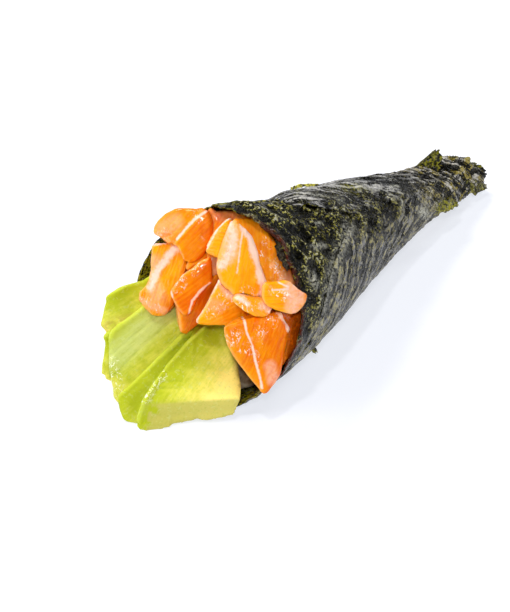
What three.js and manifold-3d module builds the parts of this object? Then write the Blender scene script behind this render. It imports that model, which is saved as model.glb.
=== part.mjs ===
// Salmon temaki: a sheet of nori rolled into a cone round rice, with avocado slices and
// chunks of raw salmon fanned out of its mouth. Millimetres, +Z up, +Y from the mouth to the tip.
// The roll lies on its side on z = 0, touching at the lower rim of its mouth and near its tip.
import * as THREE from 'three';
import Module from 'manifold-3d';
import { mergeVertices } from 'three/addons/utils/BufferGeometryUtils.js';

const wasm = await Module();
wasm.setup();

// ---- driving dimensions ----
const LENGTH = 142; // from the middle of the mouth to the ragged tip
const MOUTH_HEIGHT = 27.1; // of the cone's axis over the table, at the mouth
const TIP_HEIGHT = 5.8; // of the cone's axis over the table, at the tip
const AXIS_ARCH = 2.2; // how far the axis bows up between mouth and tip
const CONE = [[-30, 29.7], [0, 27.1], [35, 21.8], [70, 14.7], [105, 9.8], [142, 5.6]]; // y, radius
const MOUTH_BULGE = 1.5; // added to the mouth's radius, doubled at BULGE_ANGLE and gone opposite
const BULGE_ANGLE = 115; // degrees round the cone, 0 at +X and 90 at the top
const BULGE_REACH = 48;
const MOUTH_TILT = 26; // degrees that the mouth's plane leans back
const MOUTH_TURN = -4.5; // degrees that it turns to the side

const FILLING_REACH = 45; // no chunk or slice reaches further into the cone than this

const SHEET = 0.8; // thickness of the nori
const LAYER_GAP = 0.4; // air between two turns of the nori
const WRAP_START = 190; // degrees round the cone, 0 at +X and 90 at the top
const WRAP_SWEEP = 600; // degrees that the sheet is wound, over the top and down the right side
const LAYERS_OVER_BOTTOM = 0.89; // turns from the sheet's outer end back to the underside
const WRAP_STEPS = 54;
const LENGTH_STEPS = 15;
const TIP_RAGGED = 3.4; // how far the torn tip is in and out
const LOOSE = 1.5; // how far the second turn stands off along the top
const LOOSE_ANGLE = [100, 40]; // where round the cone it does so, and how widely
const LOOSE_REACH = [24, 38, 80, 100]; // where along the cone it starts, is full, and ends
// how far behind the mouth's rim the second turn's edge lies, by degrees round the cone
const OVERLAP_EDGE = [
  [-115, 3], [-60, 4], [-38, 8], [-17, 15], [0, 13], [18, 17], [32, 27], [48, 41], [58, 43],
  [66, 38], [75, 26], [86, 22], [97, 22], [110, 26], [130, 32], [150, 22], [170, 10], [195, 4],
];

// how far the rim itself stands in front of the mouth's plane, by degrees round the cone
const RIM_WAVE = [
  [-180, 0.5], [-60, 0], [-25, 0.5], [5, 1.5], [35, 3.2], [62, 3], [85, 1], [120, 1.5], [180, 0.5],
];

// folds of the sheet: height, how many go round, turn per mm of length, and phase
const FOLDS = [[1, 3, 0.07, 0], [0.7, 5, -0.13, 1.1], [0.6, 2, 0.21, 2.3]];
const FOLDS_AT_MOUTH = 0.12; // mm for a height of 1
const FOLDS_AT_TIP = 0.53;
// small tears of the rim: depth, how many go round, and phase
const TEARS = [[0.4, 7, 0], [0.3, 12, 40]];
// tears of the tip: share of TIP_RAGGED, and how often along the wind
const TIP_TEARS = [[0.6, 2.7, 1], [0.4, 6.3, 0]];

const GAP = 0.32; // left between pieces that touch
const RICE_INSET = 7; // rice behind the mouth's plane
const RICE_END = 102; // where the rice stops, short of the tip
const SLICE = 4.8; // thickness of an avocado slice
const RIPPLE = 0.22; // height of the soft waves on a cut face
const RIPPLE_PITCH = 2.1;
const CROWN_RINGS = [[0.55, 0.8], [0.85, 0.35]]; // shares of a face's outline and of its crown
const EDGE_REACH = 8; // mm, about half a face's width
const GRAIN = [2.9, 1.3, 1.15]; // half length, half width and half height of a grain
const GRAIN_ROWS = 4;
const GRAIN_FIELD = 21; // how far from the middle of the mouth the last row of grains lies
const GRAIN_SPACING = 6.5; // between grains in a row
const GRAIN_TRIES = 3; // ways that a grain is turned before it is left out
// grains in view low in the mouth: right and up from its middle, and their heading
const SHOWN_GRAINS = [
  [7.9, -13.6, 15], [9.9, -15.6, 150], [7.6, -16.8, 60], [10.4, -18.2, 20], [13.2, -17.6, 100],
  [7.4, -20.2, 165], [11.6, -20.4, 70], [9.6, -22, 110], [14.2, -19.8, 30], [5, -21.6, 80],
];
const SEED = 20;

const COLOURS = {
  nori: { color: 0x20261c, roughness: 0.45, metalness: 0 },
  rice: { color: 0xe6e0d0, roughness: 0.5, metalness: 0 },
  avocado: { color: 0xc9d85a, roughness: 0.45, metalness: 0 },
  salmon: { color: 0xf58a4a, roughness: 0.3, metalness: 0 },
};

// ---- small helpers ----
const rad = THREE.MathUtils.degToRad;
const smooth = (x, from, to) => THREE.MathUtils.smoothstep(x, from, to);

function seededRandom(seed) {
  let state = seed >>> 0;
  return () => {
    state = (Math.imul(state, 1664525) + 1013904223) >>> 0;
    return state / 4294967296;
  };
}

// straight lines through a list of [place, value]
function along(list, place) {
  if (place <= list[0][0]) return list[0][1];
  for (let i = 1; i < list.length; i += 1) {
    const [a, from] = list[i - 1];
    const [b, to] = list[i];
    if (place <= b) return from + ((to - from) * (place - a)) / (b - a);
  }
  return list[list.length - 1][1];
}

// ---- the cone ----
const coneCurve = new THREE.SplineCurve(CONE.map(([y, r]) => new THREE.Vector2(y, r)));
const coneTable = coneCurve.getPoints(120).map((p) => [p.x, p.y]);

// the axis lies over x = 0, this high
function axisAt(y) {
  const s = y / LENGTH;
  return MOUTH_HEIGHT + (TIP_HEIGHT - MOUTH_HEIGHT) * s + 4 * AXIS_ARCH * s * (1 - s);
}

// folds and dents of the sheet, deeper towards the crumpled tip
function relief(angle, y) {
  const waves = FOLDS.reduce((sum, [height, count, pitch, phase]) => (
    sum + height * Math.sin(count * rad(angle) + y * pitch + phase)
  ), 0);
  return waves * THREE.MathUtils.lerp(FOLDS_AT_MOUTH, FOLDS_AT_TIP, smooth(y, 40, LENGTH));
}

function bulge(angle, y) {
  return MOUTH_BULGE * (1 + Math.cos(rad(angle - BULGE_ANGLE))) * (1 - smooth(y, -10, BULGE_REACH));
}

function coneRadius(angle, y) {
  return along(coneTable, y) + bulge(angle, y) + relief(angle, y);
}

const mouthNormal = new THREE.Vector3(
  Math.sin(rad(-MOUTH_TURN)) * Math.cos(rad(MOUTH_TILT)),
  -Math.cos(rad(MOUTH_TURN)) * Math.cos(rad(MOUTH_TILT)),
  Math.sin(rad(MOUTH_TILT)),
);
const mouthCentre = new THREE.Vector3(0, 0, MOUTH_HEIGHT);

// where the mouth's plane, moved in by inset, meets the cone at an angle
function rimAt(angle, inset = 0) {
  let y = 0;
  for (let i = 0; i < 12; i += 1) {
    const r = along(coneTable, y) + bulge(angle, y);
    const x = r * Math.cos(rad(angle));
    const rise = axisAt(y) + r * Math.sin(rad(angle)) - MOUTH_HEIGHT;
    y = -(x * mouthNormal.x + rise * mouthNormal.z + inset) / mouthNormal.y;
  }
  return y;
}

// how far inside the cone's outer face the middle of the sheet runs, at a wind angle
function layerDepth(wind) {
  return SHEET / 2 + ((SHEET + LAYER_GAP) * (WRAP_SWEEP - wind)) / 360;
}

// the sheet's innermost face at an angle, for what fills the cone
function innerRadius(angle, y) {
  const wind = (((WRAP_START - angle) % 360) + 360) % 360;
  return coneRadius(angle, y) - layerDepth(wind) - SHEET / 2;
}

// how far the one turn that covers the underside is let down to the table
function settling(angle) {
  return (LAYERS_OVER_BOTTOM * (SHEET + LAYER_GAP)) * smooth(-Math.sin(rad(angle)), 0.82, 0.97);
}

// how far the second turn stands off the first
function looseness(wind, y) {
  const aside = (WRAP_START - wind + 360 - LOOSE_ANGLE[0]) / LOOSE_ANGLE[1];
  const [start, full, easing, end] = LOOSE_REACH;
  const outer = smooth(wind, 360, 400) * smooth(y, start, full) * (1 - smooth(y, easing, end));
  return LOOSE * outer * Math.exp(-aside * aside);
}

// a point at an angle and radius, kept over the table by at least floor
function onCone(angle, radius, y, floor) {
  const [level, rise] = [radius * Math.cos(rad(angle)), radius * Math.sin(rad(angle))];
  return new THREE.Vector3(level, y, Math.max(axisAt(y) + rise, floor));
}

// ---- meshes from grids ----
function geometryFrom(points, faces) {
  const geometry = new THREE.BufferGeometry();
  geometry.setAttribute('position', new THREE.Float32BufferAttribute(points.flatMap((p) => p.toArray()), 3));
  geometry.setIndex(faces.flat());
  return geometry;
}

// two faces for every square of a grid of rows, given its corner numbers
function squares(faces, rows, across, at, closed = false) {
  for (let i = 0; i < rows - 1; i += 1) {
    for (let j = 0; j < across - (closed ? 0 : 1); j += 1) {
      const k = (j + 1) % across;
      faces.push([at(i, j), at(i + 1, j), at(i + 1, k)], [at(i, j), at(i + 1, k), at(i, k)]);
    }
  }
}

// rings of points joined into one closed skin with a point at each end
function skinOfRings(first, rings, last) {
  const across = rings[0].length;
  const points = [first, ...rings.flat(), last];
  const faces = [];
  const at = (i, j) => 1 + i * across + j;
  for (let j = 0; j < across; j += 1) {
    const k = (j + 1) % across;
    faces.push([0, at(0, j), at(0, k)]);
    faces.push([points.length - 1, at(rings.length - 1, k), at(rings.length - 1, j)]);
  }
  squares(faces, rings.length, across, at, true);
  return geometryFrom(points, faces);
}

// ---- solids ----
function toSolid(geometry) {
  const bare = geometry.clone();
  for (const name of Object.keys(bare.attributes)) {
    if (name !== 'position') bare.deleteAttribute(name);
  }
  const merged = mergeVertices(bare, 1e-4);
  return new wasm.Manifold(new wasm.Mesh({
    numProp: 3,
    vertProperties: new Float32Array(merged.attributes.position.array),
    triVerts: new Uint32Array(merged.index.array),
  }));
}

// the largest of the separate bodies of a solid, as a geometry
function largestBody(solid) {
  const { vertProperties, triVerts } = solid.getMesh();
  const owner = Array.from({ length: vertProperties.length / 3 }, (_, i) => i);
  const root = (i) => {
    let top = i;
    while (owner[top] !== top) top = owner[top];
    return top;
  };
  for (let t = 0; t < triVerts.length; t += 3) {
    for (const k of [1, 2]) owner[root(triVerts[t + k])] = root(triVerts[t]);
  }
  const volumes = new Map();
  const corner = (i) => new THREE.Vector3().fromArray(vertProperties, 3 * i);
  for (let t = 0; t < triVerts.length; t += 3) {
    const [a, b, c] = [0, 1, 2].map((k) => corner(triVerts[t + k]));
    const body = root(triVerts[t]);
    volumes.set(body, (volumes.get(body) ?? 0) + a.dot(b.cross(c)) / 6);
  }
  const best = [...volumes].sort((a, b) => b[1] - a[1])[0][0];
  const kept = [];
  for (let t = 0; t < triVerts.length; t += 3) {
    if (root(triVerts[t]) === best) kept.push(triVerts[t], triVerts[t + 1], triVerts[t + 2]);
  }
  const geometry = new THREE.BufferGeometry();
  geometry.setAttribute('position', new THREE.Float32BufferAttribute(vertProperties, 3));
  geometry.setIndex(kept);
  return geometry;
}

function toMesh(name, geometry, finish) {
  const shape = geometry.index ? geometry.toNonIndexed() : geometry;
  shape.computeVertexNormals();
  const mesh = new THREE.Mesh(shape, new THREE.MeshStandardMaterial(finish));
  mesh.name = name;
  return mesh;
}

// ---- nori ----
// the mouth's rim, wavy and a little torn
function rimEdge(angle) {
  const around = angle > 180 ? angle - 360 : angle;
  const wave = along(RIM_WAVE, around < -180 ? around + 360 : around);
  return TEARS.reduce((y, [depth, count, phase]) => (
    y + depth * Math.sin(rad(angle * count + phase))
  ), rimAt(angle) - wave);
}

// the front edge of the sheet: the mouth's rim on the first turn, the overlap's edge on the second
function sheetFront(wind) {
  const angle = WRAP_START - wind;
  return wind > 360 ? rimEdge(angle + 360) + along(OVERLAP_EDGE, angle + 360) : rimEdge(angle);
}

function sheetBack(wind) {
  return TIP_TEARS.reduce((y, [share, often, phase]) => (
    y + TIP_RAGGED * share * Math.sin(rad(wind) * often + phase)
  ), LENGTH - 2.5);
}

function noriSheet() {
  const points = [];
  for (let side = 0; side < 2; side += 1) {
    for (let i = 0; i <= WRAP_STEPS; i += 1) {
      const wind = (WRAP_SWEEP * i) / WRAP_STEPS;
      const angle = WRAP_START - wind;
      const depth = layerDepth(wind) + (side ? 0.5 : -0.5) * SHEET;
      const settled = settling(angle);
      for (let j = 0; j <= LENGTH_STEPS; j += 1) {
        const y = THREE.MathUtils.lerp(sheetFront(wind), sheetBack(wind), j / LENGTH_STEPS);
        const radius = coneRadius(angle, y) - depth + settled + looseness(wind, y);
        points.push(onCone(angle, radius, y, depth - settled));
      }
    }
  }
  const faces = [];
  const across = LENGTH_STEPS + 1;
  const rows = WRAP_STEPS + 1;
  const outer = (i, j) => i * across + j;
  const inner = (i, j) => (rows + i) * across + j;
  squares(faces, rows, across, outer);
  squares(faces, rows, across, (i, j) => inner(rows - 1 - i, j));
  for (let j = 0; j < LENGTH_STEPS; j += 1) {
    faces.push([outer(0, j), outer(0, j + 1), inner(0, j + 1)], [outer(0, j), inner(0, j + 1), inner(0, j)]);
    const e = rows - 1;
    faces.push([outer(e, j + 1), outer(e, j), inner(e, j)], [outer(e, j + 1), inner(e, j), inner(e, j + 1)]);
  }
  for (let i = 0; i < WRAP_STEPS; i += 1) {
    const e = across - 1;
    faces.push([outer(i + 1, 0), outer(i, 0), inner(i, 0)], [outer(i + 1, 0), inner(i, 0), inner(i + 1, 0)]);
    faces.push([outer(i, e), outer(i + 1, e), inner(i + 1, e)], [outer(i, e), inner(i + 1, e), inner(i, e)]);
  }
  return geometryFrom(points, faces);
}

// all that lies outside the sheet's inner face behind the rim, to trim the filling by
function outsideTheWrap() {
  const around = 36;
  const stations = 5;
  const ring = (station, radius) => Array.from({ length: around }, (_, j) => {
    const angle = (360 * j) / around;
    const y = THREE.MathUtils.lerp(rimEdge(angle) - 1, FILLING_REACH, station / stations);
    return onCone(angle, radius(angle, y), y, -50);
  });
  const rings = [];
  for (let i = 0; i <= stations; i += 1) rings.push(ring(i, (angle, y) => coneRadius(angle, y) + 25));
  for (let i = stations; i >= 0; i -= 1) rings.push(ring(i, (angle, y) => innerRadius(angle, y) - GAP));
  const faces = [];
  squares(faces, rings.length + 1, around, (i, j) => (i % rings.length) * around + j, true);
  return geometryFrom(rings.flat(), faces);
}

// ---- slabs of food ----
// an outline with its corners rounded, long sides divided, and crossings with the folds added
function roundedOutline(outline, corner, folds) {
  const corners = outline.map(([x, y]) => new THREE.Vector2(x, y));
  if (THREE.ShapeUtils.area(corners) < 0) corners.reverse();
  const points = [];
  corners.forEach((p, i) => {
    const before = corners[(i + corners.length - 1) % corners.length];
    const after = corners[(i + 1) % corners.length];
    const towards = (q) => p.clone().lerp(q, Math.min(corner / p.distanceTo(q), 0.4));
    const [a, b] = [towards(before), towards(after)];
    points.push(a, b);
    if (p.distanceTo(after) > 9) points.push(p.clone().lerp(after, 0.5));
  });
  for (const fold of folds) {
    for (let i = points.length - 1; i >= 0; i -= 1) {
      const next = points[(i + 1) % points.length];
      const [d, e] = [foldDistance(fold, points[i]), foldDistance(fold, next)];
      if (d * e < 0 && Math.min(Math.abs(d), Math.abs(e)) > 0.4) {
        points.splice(i + 1, 0, points[i].clone().lerp(next, d / (d - e)));
      }
    }
  }
  return points;
}

// how far a point lies to the left of a fold's line
function foldDistance({ through, heading }, p) {
  return (p.y - through[1]) * Math.cos(rad(heading)) - (p.x - through[0]) * Math.sin(rad(heading));
}

// places a face's own axes: X level, Y up its slope, Z out of it
function facing(at, turn, lift) {
  const out = new THREE.Vector3(0, -1, 0);
  out.applyAxisAngle(new THREE.Vector3(-1, 0, 0), rad(lift));
  out.applyAxisAngle(new THREE.Vector3(0, 0, 1), rad(turn));
  const level = new THREE.Vector3(0, 0, 1).cross(out).normalize();
  const basis = new THREE.Matrix4().makeBasis(level, out.clone().cross(level), out);
  return basis.setPosition(...at);
}

// the outward direction at each point of an outline, longer where a corner is sharp
function outwards(edge) {
  return edge.map((p, i) => {
    const before = p.clone().sub(edge[(i + edge.length - 1) % edge.length]).normalize();
    const after = edge[(i + 1) % edge.length].clone().sub(p).normalize();
    const sum = new THREE.Vector2(before.y + after.y, -before.x - after.x);
    return sum.multiplyScalar(2 / Math.max(sum.lengthSq(), 1));
  });
}

// a cut slab: at is the middle of its shown face, turn and lift say where that face looks.
// It bends back along its folds, is thick deep and leans aside towards its hidden face. With
// grow it is the plainer, larger space that its neighbours keep clear of.
function slab(piece, grow = 0) {
  const { at, turn, lift, thick, outline } = piece;
  const { crown = 0.5, corner = 1.2, bevel = 0.6, back = 0.93, lean = [0, 0], folds = [] } = piece;
  const edge = roundedOutline(outline, corner, folds);
  const sides = outwards(edge);
  const bend = (p) => folds.reduce((sum, fold) => (
    sum - Math.max(0, foldDistance(fold, p)) * Math.tan(rad(fold.bend))
  ), 0);
  const ripple = (p) => RIPPLE * Math.sin(p.x / RIPPLE_PITCH + at[0]) * Math.sin(p.y / RIPPLE_PITCH + at[1]);
  const level = (scale, height, swell) => edge.map((p, i) => {
    const q = p.clone().multiplyScalar(scale).addScaledVector(sides[i], grow);
    const shift = Math.max(0, -height) / thick;
    const rise = height + bend(q) + swell * ripple(q);
    return new THREE.Vector3(q.x + shift * lean[0], q.y + shift * lean[1], rise);
  });
  const plain = [level(1, crown + grow, 0), level(1, 0, 0), level(back, -thick - grow, 0)];
  const shown = CROWN_RINGS.map(([share, height]) => level(share, crown * height, 1));
  const edged = [level(1 - bevel / EDGE_REACH, 0, 0.5), level(1, -bevel, 0), level(back, -thick, 0)];
  const rings = grow > 0 ? plain : [...shown, ...edged];
  const origin = new THREE.Vector2();
  const first = new THREE.Vector3(0, 0, crown + grow + bend(origin) + (grow > 0 ? 0 : ripple(origin)));
  const last = new THREE.Vector3(lean[0], lean[1], bend(origin) - thick - grow);
  return skinOfRings(first, rings, last).applyMatrix4(facing(at, turn, lift));
}

// torn bits of nori that stand up from the sheet near its tip
const TORN_BITS = [
  {
    name: 'standing_flap', at: [-0.5, 113, 20], turn: 62, lift: 12, thick: SHEET, crown: 0.1, bevel: 0.1,
    corner: 0.4, outline: [[-9, -5], [-5.5, -1], [-1, 1.5], [1.5, 4], [3, 6], [5, 6.2], [5, 1], [5.5, -5]],
  },
];

// avocado slices, front one first; each lies on the next one's edge like a shingle
const AVOCADO = [
  {
    name: 'avocado_slice_4', at: [0.8, -15.4, 11.1], turn: 33, lift: 54, lean: [-0.4, -3], back: 0.99,
    outline: [[3, 25.7], [8.7, 22.3], [12.7, 9.4], [13.7, 2.7], [14.6, -1.8], [13.7, -5.8], [2, -7.5],
      [-11.2, -9.8], [-14.4, -12.2], [-13.9, -8.6], [-11, -3.4], [-7.2, 3], [-0.9, 11.9]],
  },
  {
    name: 'avocado_slice_3', at: [-7.3, -18.3, 8.7], turn: 46, lift: 40,
    outline: [[17, 20], [9.5, 14.5], [-2.5, 4.5], [-13, -3.5], [-13, -8], [-11.5, -11], [-7.5, -12], [2, -9],
      [9, -2], [18, 12]],
  },
  {
    name: 'avocado_slice_2', at: [-15.5, -13.2, 14.7], turn: 42, lift: 32, crown: 0.6,
    outline: [[-11, 4.5], [-1.5, 10.5], [5.5, 16], [14, 19], [19, 10], [11, -2], [-0.5, -10.5], [-7.5, -16],
      [-11, -15], [-12, -8]],
  },
  {
    name: 'avocado_slice_under', at: [-23, -17.1, 10.6], turn: 40, lift: 30,
    outline: [[-4, 5.5], [1.5, 9], [8, 5], [6, -7], [2.5, -10], [-5.5, -6]],
  },
  {
    name: 'avocado_slice_1', at: [-24.2, -7.9, 22.4], turn: 40, lift: 34, crown: 0.6,
    outline: [[-8, 1.5], [-3, 5], [4, 7.5], [12, 11], [15, 3], [7, -5], [-2, -8.5], [-7.5, -9], [-10.5, -6]],
  },
].map((slice) => ({ thick: SLICE, ...slice }));

// salmon, front chunk first; each one behind is trimmed to lie against those before it
const SALMON = [
  {
    name: 'salmon_curl', at: [16, -6, 36.9], turn: 36, lift: 17, thick: 4, corner: 1.6,
    outline: [[-6.5, 2], [-3.5, 3], [-0.5, 1.5], [3.5, 1.5], [5.5, 0], [4.5, -2], [2, -3.5], [-1, -2.5],
      [-4, -0.5]],
  },
  {
    name: 'salmon_fold', at: [8.1, -1, 45.6], turn: 39, lift: 31, thick: 6.5,
    folds: [{ through: [-1.5, 0], heading: 87, bend: 14 }],
    outline: [[-2, 12], [1, 10], [3.5, 4], [6.5, -3.5], [7.5, -9.5], [4.5, -10.5], [-0.5, -9.5], [-5.5, -6.5],
      [-7, -1.5], [-5, 5]],
  },
  {
    name: 'salmon_fold_flap', at: [-1.4, 1.4, 48.1], turn: 12, lift: 34, thick: 5.5,
    outline: [[2.5, 6.5], [3, 0.5], [2.5, -4.5], [-1, -5], [-3.5, -3.5], [-2, 1.5], [0, 5]],
  },
  {
    name: 'salmon_pale_end', at: [23.5, -1.9, 39.9], turn: 42, lift: 28, thick: 6.5, corner: 0.8,
    folds: [{ through: [3.5, 0], heading: -110, bend: 35 }],
    outline: [[-5.5, 4.5], [1.5, 5], [6, 0.5], [5, -3], [2.5, -4.5], [-3.5, -2.5], [-6, 0]],
  },
  {
    name: 'salmon_low_wedge', at: [6.4, -5.8, 33], turn: 33, lift: 20, thick: 7,
    outline: [[-2.5, 6.5], [0, 8.5], [4, 3], [7.5, 1], [6, -2.5], [2.5, -6], [-3.5, -5.5], [-8, -5]],
  },
  {
    name: 'salmon_kite', at: [20.2, -7.4, 24.7], turn: 45, lift: 22, thick: 7,
    folds: [{ through: [5, 0], heading: -97, bend: 35 }],
    outline: [[-10.5, 6], [-7, 9], [0.5, 10], [5, 10.5], [8, 5.5], [7, 0.5], [5.5, -6], [2.5, -11],
      [0, -12.5], [-3, -9.5], [-8, -2]],
  },
  {
    name: 'salmon_leaf', at: [-4.8, -6.4, 35.3], turn: 39, lift: 28, thick: 7.5,
    outline: [[-5.5, -0.5], [-2, 4], [4, 7.5], [5.5, 8], [6, 2], [2, -2.5], [-1, -8.5], [-3.5, -6.5],
      [-5.5, -3]],
  },
  {
    name: 'salmon_striped_chunk', at: [-15.7, -6.9, 34.5], turn: 15, lift: 38, thick: 8, corner: 1,
    folds: [{ through: [-6, -6], heading: 192, bend: 35 }],
    outline: [[-5, 9.5], [4, 11.5], [7, 6], [6, 1.5], [4.5, -5], [1.5, -9.5], [-5, -8.5], [-6, -6.5],
      [-3.5, -2.5], [-3.5, 4]],
  },
  {
    name: 'salmon_under_leaf', at: [-4.6, -5.1, 28.8], turn: 50, lift: 17, thick: 6,
    outline: [[-5, 0.5], [1.5, 5], [8, 9], [6, -2], [-4.5, -8.5]],
  },
  {
    name: 'salmon_corner_chunk', at: [-12.3, 1, 46.6], turn: 29, lift: 39, thick: 9,
    folds: [{ through: [0, 0.5], heading: 54, bend: 22 }],
    outline: [[-9, 0.5], [-7, 4], [-1, 7], [5, 8], [7.5, 4.5], [7.5, -1.5], [4.5, -7], [0.5, -8.5],
      [-2.5, -3], [-6, -3]],
  },
  {
    name: 'salmon_inner_left', at: [-7.3, -0.2, 39.2], turn: 29, lift: 39, thick: 6,
    outline: [[-3.5, 0], [1, 3], [3, 2], [2, -2], [-2.5, -3.5]],
  },
  {
    name: 'salmon_right_slice', at: [12.5, 6.1, 44.2], turn: 52, lift: 37, thick: 7,
    outline: [[-8.5, 13], [0, 11.5], [3.5, 6.5], [5.5, -1], [6.5, -8.5], [2.5, -11.5], [-2, -10], [-3.5, -2],
      [-5.5, 5.5]],
  },
  {
    name: 'salmon_pale_back', at: [9.6, -3.5, 29.3], turn: 36, lift: 28, thick: 5,
    outline: [[-3, 3], [2, 1.5], [2, -3], [-1.5, -4]],
  },
  {
    name: 'salmon_heart', at: [-2.8, 2.4, 38.2], turn: 42, lift: 28, thick: 6,
    outline: [[-3, 4.5], [2.5, 3.5], [3.5, -1.5], [-0.5, -5], [-3, -2.5]],
  },
  {
    name: 'salmon_top_back', at: [-5, 8.6, 47.5], turn: 36, lift: 42, thick: 7,
    outline: [[-6, 5.5], [-0.5, 5.5], [7, 3], [10, -1.5], [2, -5.5], [-3, -7], [-5, -1.5]],
  },
  {
    name: 'salmon_dark_edge', at: [22.5, 1.6, 26.3], turn: 63, lift: 26, thick: 7,
    outline: [[-2, 9], [5.5, 6.5], [4.5, 2], [1.5, -4], [-3, -9], [-5, -6.5], [-2.5, 1.5]],
  },
];

// ---- rice ----
// the packed rice as a bare core, out to the sheet's inner face
function riceCore() {
  const around = 30;
  const stations = 9;
  const rings = [];
  for (let i = 0; i <= stations; i += 1) {
    rings.push(Array.from({ length: around }, (_, j) => {
      const angle = (360 * j) / around;
      const y = THREE.MathUtils.lerp(rimAt(angle, RICE_INSET), RICE_END, i / stations);
      const slack = GAP + 0.5 + 0.8 * smooth(y, FILLING_REACH - 10, FILLING_REACH + 20);
      return onCone(angle, innerRadius(angle, y) - slack, y, GAP + 2.5 * SHEET);
    }));
  }
  const front = mouthCentre.clone().addScaledVector(mouthNormal, -RICE_INSET);
  return skinOfRings(front, rings, new THREE.Vector3(0, RICE_END + 2, axisAt(RICE_END)));
}

function riceGrain(x, y, heading, sink) {
  const level = new THREE.Vector3(0, 0, 1).cross(mouthNormal).normalize();
  const basis = new THREE.Matrix4().makeBasis(level, mouthNormal.clone().cross(level), mouthNormal);
  const grain = new THREE.SphereGeometry(1, 5, 4);
  grain.scale(GRAIN[1], GRAIN[0], GRAIN[2]);
  grain.rotateZ(heading);
  grain.translate(x, y, -RICE_INSET + sink);
  grain.applyMatrix4(basis);
  grain.translate(...mouthCentre.toArray());
  return toSolid(grain);
}

// grains in rings over the core's shown end, where they clear the food in front. Each is
// turned at random, the same every time, until it lies free, or left out.
function riceGrains(cutters) {
  const random = seededRandom(SEED);
  const grains = [];
  const free = (grain) => cutters.every((cutter) => grain.intersect(cutter).getMesh().triVerts.length === 0);
  for (const [x, y, heading] of SHOWN_GRAINS) {
    const grain = riceGrain(x, y, rad(heading), 0.4 * random());
    if (free(grain)) grains.push(grain);
  }
  for (let row = 0; row <= GRAIN_ROWS; row += 1) {
    const radius = (GRAIN_FIELD * row) / GRAIN_ROWS;
    const count = row === 0 ? 1 : Math.round((2 * Math.PI * radius) / GRAIN_SPACING);
    for (let k = 0; k < count; k += 1) {
      const angle = (2 * Math.PI * (k + 0.5 * random())) / count;
      const sink = -0.3 + 0.9 * random();
      for (let go = 0; go < GRAIN_TRIES; go += 1) {
        const heading = Math.PI * random();
        const grain = riceGrain(radius * Math.cos(angle), radius * Math.sin(angle), heading, sink);
        if (free(grain)) {
          grains.push(grain);
          break;
        }
      }
    }
  }
  return grains;
}

// ---- assembly ----
const roll = new THREE.Group();
const sheet = TORN_BITS.reduce((sum, bit) => sum.add(toSolid(slab(bit))), toSolid(noriSheet()));
roll.add(toMesh('nori_wrap', largestBody(sheet), COLOURS.nori));

const table = new THREE.BoxGeometry(400, 400, 20).translate(0, 0, -10);
const cutters = [toSolid(table), toSolid(outsideTheWrap())];
for (const [pieces, finish] of [[SALMON, COLOURS.salmon], [AVOCADO, COLOURS.avocado]]) {
  for (const piece of pieces) {
    const solid = cutters.reduce((rest, cutter) => rest.subtract(cutter), toSolid(slab(piece)));
    roll.add(toMesh(piece.name, largestBody(solid), finish));
    cutters.push(toSolid(slab(piece, GAP)));
  }
}

const heap = riceGrains(cutters).reduce((sum, grain) => sum.add(grain), toSolid(riceCore()));
const rice = cutters.reduce((rest, cutter) => rest.subtract(cutter), heap);
roll.add(toMesh('rice', largestBody(rice), COLOURS.rice));

const box = new THREE.Box3().setFromObject(roll);
const middle = box.getCenter(new THREE.Vector3());
roll.position.set(-middle.x, -middle.y, -box.min.z);
export default roll;
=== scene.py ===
"""The looks of a salmon temaki: a nori cone round rice, with avocado slices and raw salmon in its mouth."""
import logging
import math
from dataclasses import dataclass, field
from enum import Enum
from itertools import product

import bpy
import numpy as np
from mathutils import Matrix, Vector


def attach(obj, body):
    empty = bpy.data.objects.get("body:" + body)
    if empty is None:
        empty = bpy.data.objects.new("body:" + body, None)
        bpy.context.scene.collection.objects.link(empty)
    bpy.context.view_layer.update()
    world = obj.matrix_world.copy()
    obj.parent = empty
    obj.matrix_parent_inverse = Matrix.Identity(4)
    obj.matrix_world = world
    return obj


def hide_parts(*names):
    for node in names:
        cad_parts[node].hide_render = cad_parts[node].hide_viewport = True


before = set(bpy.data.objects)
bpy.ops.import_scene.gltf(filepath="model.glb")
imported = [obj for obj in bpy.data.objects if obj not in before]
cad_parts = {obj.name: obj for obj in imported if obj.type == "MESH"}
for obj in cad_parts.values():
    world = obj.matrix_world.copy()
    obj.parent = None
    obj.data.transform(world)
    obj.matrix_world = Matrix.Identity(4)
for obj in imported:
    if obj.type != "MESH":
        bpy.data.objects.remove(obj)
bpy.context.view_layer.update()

LOG = logging.getLogger("temaki")
MM = 0.001
BODY = "root"
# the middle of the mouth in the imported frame, in mm; the roll's own axes start there
MOUTH_ORIGIN = np.array([2.968, -55.872, 0.0])
# the way that the nori's creases run on its flat sheet, in degrees from the way round the cone
VEINED_HEADING = -58.0
STREAKED_HEADING = 60.0
TIP_HEADING = 18.0
# cut faces of salmon that look this way, away from the key light, get painted shade, a deeper orange, and the
# ones that look back get painted light, paler
SHADED_SIDE = np.array([0.80933, 0.58736, 0.0])
# nothing lies lower than this over the table, in mm
TABLE_GAP = 0.02
# mm from one fine muscle line of the salmon to the next
MUSCLE_LINE = 1.05
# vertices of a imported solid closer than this, in metres, are one
MERGE_GAP = 2e-6
# a face that leans more degrees than this from its corner's mean direction ends in a sharp edge
SHARP_ANGLE = 9.0
# how often a copied solid's faces are smoothed
FLATTENING = 12
# directions that a chunk's sides are measured in
OUTLINE_BINS = 120
# how far below a shown face its sides still belong to it, in mm, and how far they are moved with it
SHOWN_DEPTH = 1.5
MOVED_DEPTH = 6.0
# how much its sides may be drawn in and out
DRAWN = (0.95, 1.25)
# half the width of a groove, in mm
GROOVE = 0.45
# how much painted shade deepens the orange on the faces that look to the shaded side
SIDE_SHADE = 0.55
# how much a vertex keeps of its own value when it is evened out with its neighbours'
OWN_SHARE = 0.4
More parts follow.
